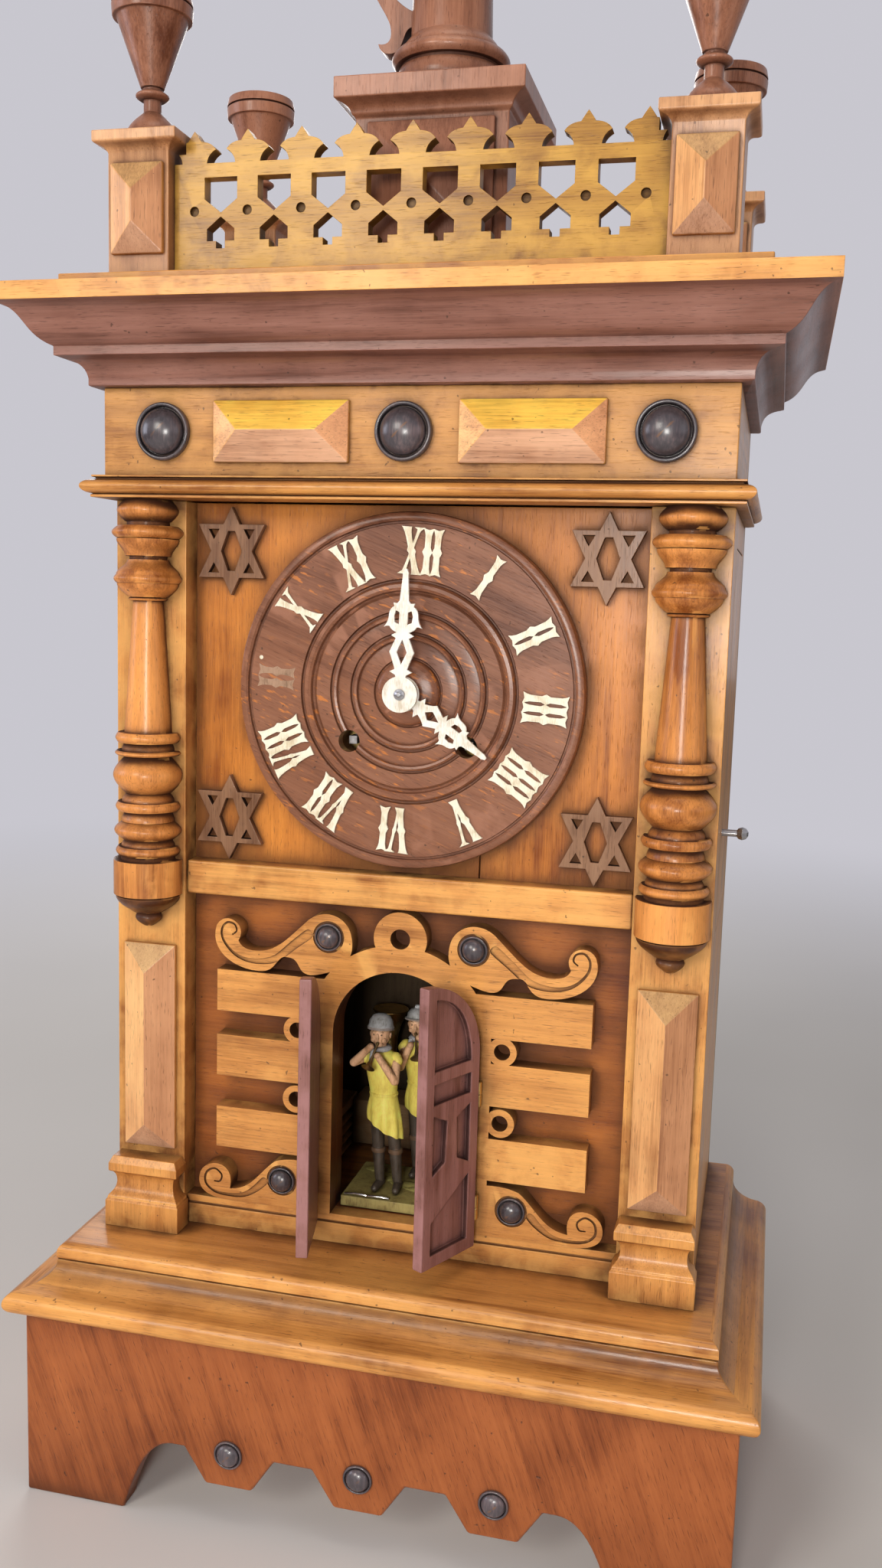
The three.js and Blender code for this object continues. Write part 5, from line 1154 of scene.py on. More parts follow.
class MakePlinth(ClockMaker, bpy.types.Operator):
    """Sawn apron with its row of buttons, and the two sides of the plinth"""

    bl_idname = "clock.make_plinth"
    bl_label = "Plinth"

    pitch = 73.5
    arch_z = 43.5
    brow_half = 26
    notch_z = 24.5
    notch_half = 13.5
    foot_wide = 59.5

    def outline(self):
        """Right half of the apron's lower edge, mirrored to the left."""
        edge, shoulder = HALF + APRON_OUT, self.pitch + self.notch_half + 25
        half = Pen(edge, APRON_H).line((edge, 0), (edge - self.foot_wide, 0))
        half.bend((shoulder + 12.5, self.arch_z), (shoulder - 6.25, self.arch_z), 14)
        for middle in (self.pitch, 0):
            half.line((middle + self.brow_half, self.arch_z), (middle + self.notch_half, self.notch_z))
            if middle:
                half.line((middle - self.notch_half, self.notch_z), (middle - self.brow_half, self.arch_z))
        return half.points + mirrored(half.points)[::-1]

    def execute(self, context):
        front = timber("apron_walnut", "Z", 3.1, tilt=radians(-20), figure=0.8)
        Workpiece("apron").add(
            sawn([self.outline()], front=APRON_Y, thick=APRON_T), front,
        ).settle("case", "dark_walnut", "plinth_front", worn=2)
        for name in ("plinth_left", "plinth_right"):
            redress(f"{name}_board", name, timber("apron_walnut", "Y", 3.4), "case", "dark_walnut", worn=2)
        finish = ebony("button_wood", 2.2)
        button = Workpiece("button").add(lathe(dome(8, 5.4), 40), finish, at=FORWARD).raw()
        row = grown(
            "apron_buttons", row_tree(), piece=button, count=3, finish=finish,
            start=Vector((-self.pitch, APRON_Y + 1, self.arch_z)) * MM, pitch=Vector((self.pitch, 0, 0)) * MM)
        bpy.data.objects.remove(button)
        place(row, "case", "dark_walnut")
        return {"FINISHED"}


class MakeBase(ClockMaker, bpy.types.Operator):
    """Torus and hollow over the plinth, and the step that carries the case"""

    bl_idname = "clock.make_base"
    bl_label = "Base mouldings"

    def execute(self, context):
        torus_out, step_out = 38.5, 16.5
        torus = cubic((30, 0.5), (40.5, 1), (40.5, 13), (31, 14), 16)
        widest = max(out for out, _ in torus)
        torus = [(out - widest + torus_out if out > 31 else out, z) for out, z in torus]
        hollow = cubic((31, 14), (26, 14.5), (17.5, 18), (step_out, 25), 14)
        profile = [(30, 0), *torus, *hollow, (step_out, 27)]
        # The top of the hollow, under the nose of the step, is darkened: painted shadow.
        shadow_under_step = (APRON_H + 18, APRON_H + 30, 0.62)
        Workpiece("base_run").add(
            moulded(profile, BASE_Y, BACK, APRON_H),
            timber("walnut", "X", 1.1, polish=0.34, stained=shadow_under_step),
            timber("walnut", "Y", 1.2, polish=0.34, stained=shadow_under_step),
        ).settle("case", "walnut", "base_moulding")
        nose = [(15.5, 0), (16.5, 1), *cubic((16.5, 4), (16.5, 7), (13.5, 9), (11.5, 9), 8)]
        Workpiece("step_board").add(
            slab(nose, BASE_Y, BACK, STEP_Z), timber("walnut", "X", 1.5), timber("walnut", "Y", 1.6),
        ).settle("case", "walnut", "base_step")
        return {"FINISHED"}


class MakeCase(ClockMaker, bpy.types.Operator):
    """Sides, back, posts, panels and rails of the case"""

    bl_idname = "clock.make_case"
    bl_label = "Case"

    def star(self, x, z):
        """Six-pointed star of two crossed triangles, pierced between its bars."""
        tall, arm, base, bar = 24, 19.2, 14.4, 2.7
        notch, waist = arm * (tall - base) / (tall + base), arm * tall / (tall + base)
        head = base - bar
        half = [(0, tall), (notch, base), (arm, base), (waist, 0), (arm, -base), (notch, -base), (0, -tall)]
        heart = [(2, head - 1), (waist / 2, 0), (2, 1 - head)]
        cuts = [heart + mirrored(heart)[::-1]]
        for a, b in ((1, 1), (1, -1), (-1, 1), (-1, -1)):
            cuts.append([(a * (waist - 4.8), b * head), (a * (waist + 1.2), b * head),
                         (a * (waist - 1.8), b * (head - 5.3))])
        rim = half + mirrored(half[1:-1])[::-1]
        solid = sawn([rim], cuts, front=PANEL_Y - 4, thick=4.5)
        return moved(solid, Matrix.Translation((x, 0, z)))

    def post(self, name, side):
        x0, x1 = sorted((side * HALF, side * (HALF - 2 * POST_HALF)))
        piece = Workpiece(f"{name}_post").add(
            board(x0, x1, POST_Y, POST_BACK, FLOOR_Z, ASTRAGAL_Z), timber("walnut", "Z", 2.1 + side * 0.3))
        profile = [
            (2, 0), (2, 15), (1, 16.4), *cubic((1, 16.4), (1.4, 18.5), (-2.6, 19), (-3.0, 25), 8),
            *cubic((-3.0, 25), (-3.0, 30), (-1.4, 31.4), (0, 32), 8), (0.6, 32.4), (0.6, 37), (-1.5, 41)]
        piece.add(loft([
            (x0 - out, x1 + out, POST_Y - 12 - out, POST_Y + 1, FLOOR_Z + z)
            for out, z in profile]), timber("walnut", "Z", 2.6 + side * 0.3))
        foot_z, head_z = FLOOR_Z + 46, low(name.replace("stile", "column")).z - 11
        piece.add(
            hipped((x0 + x1) / 2, POST_Y + 1, (foot_z + head_z) / 2, 31, head_z - foot_z),
            *lit_and_shaded_facets("Z", 2.9))
        piece.settle("case", "walnut", name, angle=HIP_ANGLE)

    def execute(self, context):
        # The inward faces of the sides and back take near-black pine: painted shade inside the case.
        inside_painted_shade = timber("sooty_pine", "Z", 4.9)
        for name, finish, inward in (
            ("left_side", timber("walnut", "Z", 4.1, figure=0.6), (1, 0, 0)),
            ("right_side", timber("walnut", "Z", 4.4, figure=0.6), (-1, 0, 0)),
            ("back_board", timber("pine", "Z", 4.7), (0, -1, 0)),
        ):
            Workpiece(f"{name}_panel").add(lined(carried(name), inward), finish, inside_painted_shade).settle(
                "case", "walnut", name)
        self.post("left_stile", -1)
        self.post("right_stile", 1)
        split = (RAIL_Z + RAIL_TOP) / 2
        bores = [disc(0, DIAL_Z, 6), *(disc(x, WIND_Z, WIND_HOLE) for x in (-WIND_X, WIND_X))]
        crack = [(40, split), (40.5, split), (40.9, split + 22), (40.4, DIAL_Z - 78), (40.1, split + 22)]
        upper = Workpiece("dial_board").add(
            sawn([rect(-OPEN_X, OPEN_X, split, ASTRAGAL_Z)], bores, [(crack, 1.4)], PANEL_Y,
                 PANEL_BACK - PANEL_Y),
            timber("panel_walnut", "Z", 5.1))
        star_x = OPEN_X - 22
        for x in (-star_x, star_x):
            for z in (ASTRAGAL_Z - 25.8, RAIL_TOP + 24.4):
                upper.add(self.star(x, z), timber("star_walnut", "Z", 5.3))
        upper.settle("case", "walnut", "dial_panel", worn=0.5)
        # The lower panel takes darker walnut, painted shade of its recess, and the faces that line the doorway
        # take near-black walnut, painted shadow.
        Workpiece("lower_board").add(
            jambed(sawn([rect(-OPEN_X, OPEN_X, FLOOR_Z, split)], [doorway(ARCH_R, SILL_TOP)], front=PANEL_Y,
                        thick=PANEL_BACK - PANEL_Y)),
            timber("lower_walnut", "X", 5.6), timber("jamb_walnut", "Z", 5.9),
        ).settle("case", "walnut", "lower_panel")
        redress("middle_rail", "mid_rail", timber("walnut", "X", 6.1), "case", "walnut", worn=2)
        y, top = low("bottom_rail").y, SILL_TOP
        section = [(PANEL_Y, FLOOR_Z), (y, FLOOR_Z), (y, top - 5.5), (y + 1.4, top - 5.1), (y + 1.4, top - 4.3),
                   (y, top - 3.9), (y, top), (PANEL_Y, top)]
        sill = tube([[(x, *point) for point in section] for x in (-OPEN_X, OPEN_X)])
        Workpiece("sill_rail").add(sill, timber("walnut", "X", 6.4)).settle(
            "case", "walnut", "bottom_rail", worn=0.5)
        return {"FINISHED"}


class MakeColumns(ClockMaker, bpy.types.Operator):
    """Split-turned columns on the posts"""

    bl_idname = "clock.make_columns"
    bl_label = "Columns"

    members = [
        ("swell", 5, 2.6, 7.4), ("hollow", 3, 7.4, 5.8), ("swell", 10, 8, 18.2), ("line", 1, 16.8, 16.8),
        ("line", 19.5, 19.3, 19.3), ("line", 2.5, 15.2, 15.2), ("bead", 5, 16.6, 18),
        ("hollow", 4, 15, 12.6), ("bead", 10, 14.4, 18.8), ("hollow", 6, 14.8, 12.4), ("bead", 5, 16.8, 18),
        ("hollow", 5, 14.6, 11.8), ("bead", 20, 13.0, 19.3), ("line", 1, 12.6, 12.6), ("bead", 2.5, 17.2, 18.3),
        ("hollow", 4.5, 14.6, 12.8), ("bead", 5.5, 16.6, 18), ("line", 72, 13.2, 8.3), ("bead", 2, 9.6, 10.8),
        ("swell", 7.5, 11, 17), ("bead", 4.5, 17.4, 18.7), ("ogee", 8, 17.4, 11.4), ("line", 2, 10.2, 10.2),
        ("ogee", 9, 12.6, 17.2), ("bead", 7, 16.4, 19.6), ("line", 2.5, 11.6, 11.6), ("bead", 11.5, 12.6, 16.8),
    ]

    def execute(self, context):
        for name, side in (("left_column", -1), ("right_column", 1)):
            foot = Vector((side * COLUMN_X, POST_Y - 3, low(name).z))
            turned = moved(self.turned(self.members, 96), Matrix.Translation(foot))
            # The turned drop at the foot of each column is darkened.
            Workpiece(f"{name}_turning").add(
                planed(turned, POST_Y),
                timber("column_walnut", "Z", 7.1 + side * 0.4, stained=(foot.z - 9, foot.z + 18.5, 1.0)),
            ).settle("case", "walnut", name)
        return {"FINISHED"}


class MakeFret(ClockMaker, bpy.types.Operator):
    """Sawn overlay round the arch, with its bosses and the fixed hinge knuckles"""

    bl_idname = "clock.make_fret"
    bl_label = "Fretwork"

    ring_r, ring_hole = 8, 4.5
    seat_r, seat_depth = 9.0, 0.9
    groove_depth = 1.3

    # Grooves in the scrolls: (out, rise, width) along their middle
    upper_groove = [
        (13.4, 2.2, 2.0), (15, 0.8, 5.4), (24, -6.5, 5.0), (34, -14.8, 4.2), (44, -17.4, 3.2), (53, -16.8, 2.3),
        (60, -13.4, 1.7), (65.6, -6.8, 1.4), (66.4, -0.6, 1.3), (63.2, 3.4, 1.2), (58.9, 2.6, 1.1),
        (57.6, -1.0, 1.0), (60.2, -3.4, 0.8)]
    lower_groove = [
        (38.2, 15.6, 1.8), (39.6, 14.2, 4.6), (45, 8.8, 4.0), (52, 4.4, 2.8), (61, 3.2, 2.0), (70, 4.2, 1.6),
        (75.4, 8.6, 1.4), (75.0, 15.0, 1.3), (70.0, 18.0, 1.2), (65.6, 14.6, 1.1), (66.8, 10.6, 1.0),
        (70.4, 10.4, 0.8)]

    def spread(self, side, out):
        """X of a place on a scroll, which stretches with the width of the opening."""
        return side * (ARCH_R + out * SCROLL_STRETCH)

    def upper_scroll(self, side):
        def p(out, rise):
            return self.spread(side, out), UPPER_BOSS_Z + rise
        root_r, turn = ARCH_R + ARCH_BAND - 3, radians(49)
        root = (side * root_r * cos(turn), SPRING_Z + root_r * sin(turn))
        pen = Pen(*root).bend(p(-11.5, -9.5), p(-10, 0)).curve(p(-8.5, 13), p(7.5, 18), p(17.5, 6.5))
        pen.curve(p(28.5, -4), p(34.5, -11.5), p(46.5, -11.5)).bend(p(54.5, -11.5), p(56.5, -6.5))
        pen.curve(p(50.5, 3.5), p(64.5, 10.5), p(69.5, 1.5)).curve(p(74.5, -12.5), p(60.5, -23), p(44.5, -23))
        pen.curve(p(32.5, -23), p(35.5, -13.5), p(27.5, -13.5))
        pen.curve(p(18.5, -13.5), p(22.5, -22.5), p(13.5, -22.5)).bend(p(8.5, -22.5), root)
        return pen.points[:-1]

    def lower_scroll(self, side):
        def p(out, rise):
            return self.spread(side, out), SILL_TOP + rise
        pen = Pen(*p(7.5, 0)).line(p(7.5, 28)).bend(p(22.5, 31), p(33, 27))
        pen.curve(p(42.5, 20), p(46.5, 8), p(60.5, 7)).curve(p(56.5, 26), p(78.5, 24), p(79.5, 12))
        return pen.curve(p(80.5, 2), p(70.5, 0), p(60.5, 0)).points

    def execute(self, context):
        tops = [SPRING_Z + 30 - step * (SPRING_Z - SILL_TOP) for step in (0, 0.357, 0.756)]
        solids = [doorway(ARCH_R + ARCH_BAND, SILL_TOP), disc(0, CREST_Z, CREST_R, 48)]
        cuts = [doorway(ARCH_R, SILL_TOP - 1), disc(0, CREST_Z, CREST_HOLE)]
        pockets = []
        piece = Workpiece("fret_overlay")
        boss = lathe(dome(7.8, 6.0), 48)
        knuckle = lathe(turning([("line", 6.7, KNUCKLE_R, KNUCKLE_R)]), 24)
        for side in (-1, 1):
            for top in tops:
                solids.append(rect(*sorted((side * ARCH_R, side * (OPEN_X - 18.5))), top - BAR_H, top))
            for upper, lower in zip(tops, tops[1:]):
                z = (upper - BAR_H + lower) / 2
                solids.append(disc(side * RING_X, z, self.ring_r))
                cuts.append(disc(side * RING_X, z, self.ring_hole, 24))
            solids += [self.upper_scroll(side), self.lower_scroll(side)]
            for groove, base in ((self.upper_groove, UPPER_BOSS_Z), (self.lower_groove, SILL_TOP)):
                path = [(self.spread(side, out), base + rise, wide) for out, rise, wide in groove]
                pockets.append((ribbon(smoothed(path)), self.groove_depth))
            for out, z in ((3.5, UPPER_BOSS_Z), (29, LOWER_BOSS_Z)):
                x = self.spread(side, out)
                pockets.append((disc(x, z, self.seat_r, 40), self.seat_depth))
                piece.add(boss, ebony("boss_wood", 1.7), at=facing(x, FRET_Y + 1, z))
            x = side * PIVOT_X
            for z in HINGE_ZS:
                piece.add(knuckle, brass(), at=Matrix.Translation((x, PIVOT_Y, z + 3.8)))
                piece.add(board(x - 1, x + 1, PIVOT_Y, FRET_Y + 1, z + 3.8, z + 10.5), brass())
        # The faces that line the doorway take near-black walnut: painted shadow.
        piece.add(
            jambed(sawn(solids, cuts, pockets, FRET_Y, FRET_T)), timber("walnut", "X", 8.1),
            timber("jamb_walnut", "Z", 5.9))
        piece.settle("case", "walnut", "arch_fret")
        return {"FINISHED"}


class MakeDoors(ClockMaker, bpy.types.Operator):
    """The two leaves in front of the figures, carved with sunk windows"""

    bl_idname = "clock.make_doors"
    bl_label = "Doors"

    def leaf(self, name, body, side, angle):
        first, free, margin, sunk = 2.7, PIVOT_X - 0.3, 7, 3.0
        radius, bottom = free - first, SILL_TOP - 3

        def at(*points):
            return [(-side * x, z) for x, z in points]
        rim = at((first, bottom), (free, bottom)) + at(*[
            (free - radius * sin(k * pi / 48), SPRING_Z + radius * cos(k * pi / 48)) for k in range(25)])
        a, b = first + margin, free - margin
        spring, head = SPRING_Z - 2, SPRING_Z - 9
        foot = bottom + margin
        middle, waist = (a + b) / 2, foot + 0.428 * (head - foot)
        lunette = Pen(a, spring).line((b, spring), (b, SPRING_Z + radius - margin))
        lunette.bend((a + 2, SPRING_Z + radius - 11), (a, spring), 12)
        pockets = [
            lunette.points[:-1],
            [(a, head - 11), (b, head - 11), (b, head), (a, head)],
            [(a, waist + 4), (middle - 5, waist + 9), (middle - 4, head - 22), (a, head - 17)],
            [(b, waist + 4), (b, head - 17), (middle + 4, head - 22), (middle + 5, waist + 9)],
            [(a, foot), (b, foot), (b, waist - 22), (a, waist - 3)],
        ]
        flat = sawn([rim], pockets=[(at(*points), sunk) for points in pockets], front=-DOOR_T / 2, thick=DOOR_T)
        swing = Matrix.Translation((side * PIVOT_X, PIVOT_Y, 0)) @ Matrix.Rotation(side * angle, 4, "Z")
        piece = Workpiece(name).add(flat, timber("door_walnut", "Z", 9.1 + side * 0.3), at=swing)
        knuckle = lathe(turning([("line", 7, KNUCKLE_R, KNUCKLE_R)]), 24)
        lap = sorted((0, -side * 3.7))
        for z in HINGE_ZS:
            piece.add(knuckle, brass(), at=swing @ Matrix.Translation((0, 0, z - 3.5)))
            piece.add(board(*lap, -1, 1, z - 3.5, z + 3.5), brass(), at=swing)
        node = "left_door" if side < 0 else "right_door"
        piece.settle(body, "door_wood", node)

    def execute(self, context):
        self.leaf("left_door_leaf", "left_leaf", -1, self.sizes.left_open)
        self.leaf("right_door_leaf", "right_leaf", 1, self.sizes.right_open)
        return {"FINISHED"}


class MakeEntablature(ClockMaker, bpy.types.Operator):
    """Astragal, frieze with its hipped panels and bosses, cornice and gallery floor"""

    bl_idname = "clock.make_entablature"
    bl_label = "Entablature"

    def execute(self, context):
        bead = cubic((4.5, 2.2), (12, 2.8), (12, 9.0), (4.5, 9.6), 16)
        widest = max(out for out, _ in bead)
        bead = [(out * 10 / widest if out > 5 else out, z) for out, z in bead]
        fillets = [(2, 0), (5.6, 0.4), (5.6, 1.7), (4.5, 2.2)], [(3.4, 10), (3.4, 10.6), (5.2, 11), (5.2, 12)]
        Workpiece("astragal_run").add(
            moulded([*fillets[0], *bead, *fillets[1]], FRIEZE_Y, BACK_IN, ASTRAGAL_Z),
            timber("walnut", "X", 10.1), timber("walnut", "Y", 10.2),
        ).settle("case", "walnut", "astragal")
        middle = (FRIEZE_Z + CORNICE_Z) / 2
        frieze = Workpiece("frieze_run").add(
            moulded([(0, 0), (0, CORNICE_Z - FRIEZE_Z)], FRIEZE_Y, BACK_IN, FRIEZE_Z),
            timber("frieze_walnut", "X", 10.5), timber("frieze_walnut", "Y", 10.6))
        boss_x = HALF - 34.5
        for side in (-1, 1):
            # The frieze's facets are lifted brighter and lit golden on top: painted light.
            frieze.add(
                hipped(side * boss_x / 2, FRIEZE_Y + 1, middle, 74, 31.5),
                *lit_and_shaded_facets("X", 11, 1.3, SUNNY_TOP))
        frieze.settle("case", "walnut", "frieze", angle=HIP_ANGLE)
        boss = lathe(dome(15, 10), 72)
        for name, side in (("left", -1), ("centre", 0), ("right", 1)):
            Workpiece(f"boss_{name}").add(
                boss, ebony("boss_wood", 1.7), at=facing(side * boss_x, FRIEZE_Y, middle),
            ).settle("case", "ebonised", f"frieze_boss_{name}", crisp=1)
        cove = cubic((6, 4), (7, 10), (10, 12.5), (17, 13.5), 10)
        cyma = cubic((19, 18.5), (31, 23), (29, 35), (40, 37), 14)
        profile = [(5, 0), (6, 0.5), (6, 4), *cove, (19, 14), (19, 18.5), *cyma, (42, 37.5)]
        Workpiece("cornice_run").add(
            moulded(profile, FRIEZE_Y, BACK, CORNICE_Z),
            timber("cornice_walnut", "X", 12.1), timber("cornice_walnut", "Y", 12.2),
        # The top band takes the lighter walnut: painted light where the light from above falls on it.
        ).add(
            moulded([(42, 37.5), (42, 46.5)], FRIEZE_Y, BACK, CORNICE_Z),
            timber("walnut", "X", 12.3), timber("walnut", "Y", 12.4),
        ).settle("case", "dark_walnut", "cornice")
        redress("gallery_board", "gallery_floor", timber("walnut", "X", 12.6), "case", "walnut")
        return {"FINISHED"}


class MakeGallery(ClockMaker, bpy.types.Operator):
    """Pedestals with their finials, and the fretted balustrade between them"""

    bl_idname = "clock.make_gallery"
    bl_label = "Gallery"

    def balustrade(self):
        half = low("front_right_pedestal").x + PEDESTAL_CAP - 0.3
        rail = DECK_Z + 59
        pitch, count = 29, 9
        crests = [((count - 1) / 2 - k) * pitch for k in range(count)]
        pen = Pen(-half, DECK_Z).line((half, DECK_Z), (half, rail))
        lobe = pitch * 0.4
        for x in crests:
            right, left = min(x + lobe, half), max(x - lobe, -half)
            pen.line((x + 6.8, rail)).bend((x + 7.2, rail + 4.2), (right, rail + 6.6))
            pen.bend((x + 9.4, rail + 10.2), (x + 3.6, rail + 10.6))
            pen.bend((x + 2.4, rail + 12.6), (x, rail + 15.8), 6)
            pen.bend((x - 2.4, rail + 12.6), (x - 3.6, rail + 10.6), 6)
            pen.bend((x - 9.4, rail + 10.2), (left, rail + 6.6))
            pen.bend((x - 7.2, rail + 4.2), (x - 6.8, rail))
        pen.line((-half, rail))
        wide, narrow = 0.307 * pitch, 0.26 * pitch
        cuts = []
        for x in (crest + pitch / 2 for crest in crests[1:]):
            cuts.append([(x - wide, rail - 7), (x + wide, rail - 7), (x + wide, rail - 17.6), (x, rail - 24.4),
                         (x - wide, rail - 17.6)])
            cuts.append([(x, rail - 26.4), (x + narrow, rail - 32.4), (x + narrow, rail - 38.3),
                         (x + 2.5, rail - 38.3), (x + 2.5, rail - 42), (x - 2.5, rail - 42),
                         (x - 2.5, rail - 38.3), (x - narrow, rail - 38.3), (x - narrow, rail - 32.4)])
        pockets = [(disc(x, rail - 23.5, 2.5, 20), 2.2) for x in crests]
        front = low("balustrade").y
        cap = low("front_right_pedestal").x - 0.3
        cove_z = DECK_Z + PEDESTAL_H - 10.3
        cuts += [rect(cap, half + 5, cove_z, cove_z + 40), rect(-half - 5, -cap, cove_z, cove_z + 40)]
        return sawn([pen.points], cuts, pockets, front, high("balustrade").y - front)

    def execute(self, context):
        cap = PEDESTAL_CAP
        profile = [(0, 0), (0, 64), *cubic((0, 64), (0.6, 66.4), (2.6, 67.4), (cap - 1.2, 68), 8),
                   (cap, 68.6), (cap, PEDESTAL_H)]
        members = [
            ("line", 2, 15, 15), ("hollow", 12, 13.5, 4.6), ("line", 6, 4.6, 4.6), ("bead", 4.5, 6, 8.8),
            ("line", 1.5, 5, 5), ("line", 34, 6, 18.5), ("line", 6, 20.5, 21), ("line", 1, 19.5, 19.5),
            ("line", 5, 21, 20)]
        seed = 13.0
        for place_name in ("front", "rear"):
            for hand in ("left", "right"):
                node = f"{place_name}_{hand}_pedestal"
                x = (low(node).x + high(node).x) / 2
                y = high(node).y - PEDESTAL_HALF - cap
                seed += 0.3
                Workpiece(f"{place_name}_{hand}_block").add(
                    plinthed(profile, x, y, PEDESTAL_HALF, PEDESTAL_HALF, DECK_Z),
                    timber("pedestal_walnut", "Z", seed),
                ).add(
                    hipped(x, y - 16, DECK_Z + 36, 29, 45, 3.5, 6.5), *lit_and_shaded_facets("Z", 13.9),
                ).settle("case", "walnut", node, angle=HIP_ANGLE)
                Workpiece(f"{place_name}_{hand}_turning").add(
                    self.turned(members), timber("umber_walnut", "Z", seed + 0.15, wear=0.7),
                    at=Matrix.Translation((x, y, DECK_Z + PEDESTAL_H)),
                ).settle("case", "dark_walnut", f"{place_name}_{hand}_finial")
        Workpiece("balustrade_fret").add(self.balustrade(), timber("fret_walnut", "X", 14.6)).settle(
            "case", "walnut", "balustrade", worn=0.5)
        return {"FINISHED"}


class MakeTower(ClockMaker, bpy.types.Operator):
    """Panelled tower in the middle of the gallery, with the turned tankard on it"""

    bl_idname = "clock.make_tower"
    bl_label = "Tower"

    def execute(self, context):
        half_x, half_y, cap, tall, slab_z = 41, 39, 9.5, 107, 96.5
        y = high("central_pedestal").y - cap - half_y
        profile = [
            (3, 0), (3, 8), *cubic((3, 8), (1, 8.6), (0.2, 9.6), (0, 11), 6), (0, slab_z - 8), (2, slab_z - 6),
            *cubic((2, slab_z - 6), (2.4, slab_z - 2.6), (5, slab_z - 1.4), (cap, slab_z), 8), (cap, tall)]
        Workpiece("tower_block").add(
            plinthed(profile, 0, y, half_x, half_y, DECK_Z), timber("umber_walnut", "Z", 15.1),
        ).add(
            hipped(0, y - half_y + 1, DECK_Z + 53, 68, 66, 3.5, 8), timber("umber_walnut", "Z", 15.4),
        ).settle("case", "dark_walnut", "central_pedestal", angle=15)

        r, height = 22, 120
        base = DECK_Z + tall
        foot = [("line", 3, r + 7, r + 7), ("bead", 12, r + 6, r + 7.5), ("line", 1.5, r + 5, r + 5),
                ("bead", 7, r + 8, r + 10), ("hollow", 8, r + 5, r)]
        top = [("bead", 5, r - 1, r + 1.5), ("line", 1, r - 2, r - 2), ("bead", 3, r - 0.5, r + 1),
               ("swell", 9, r - 1, 6), ("line", 2, 3.5, 3.5), ("bead", 6, 3.5, 5.5)]
        used = sum(member[1] for member in foot + top)
        lift, fall = base + 36, base + height - 36
        grip = Pen(-r + 2, fall).curve((-r - 12, fall + 8), (-r - 26, fall), (-r - 25, fall - 14))
        grip.curve((-r - 24, lift + 20), (-r - 12, lift + 10), (-r - 11, lift + 2))
        grip.curve((-r - 10, lift - 5), (-r - 14, lift - 6), (-r - 18, lift - 5), 8)
        grip.bend((-r - 16, lift - 12), (-r - 8, lift - 10)).curve(
            (-r - 3, lift - 8), (-r - 4, lift + 4), (-r + 2, lift + 2), 8)
        grip.line((-r + 2, lift + 10)).curve((-r - 8, lift + 14), (-r - 17, lift + 26), (-r - 18, fall - 14))
        grip.curve((-r - 18, fall - 6), (-r - 10, fall - 2), (-r + 2, fall - 8))
        finish = timber("umber_walnut", "Z", 15.8, polish=0.32)
        Workpiece("tankard_turning").add(
            self.turned([*foot, ("line", height - used, r, r - 1.5), *top], 96), finish,
            at=Matrix.Translation((0, y, base)),
        ).add(sawn([grip.points], front=y - 5, thick=10), finish).settle(
            "case", "dark_walnut", "tankard", worn=2, segments=3)
        return {"FINISHED"}


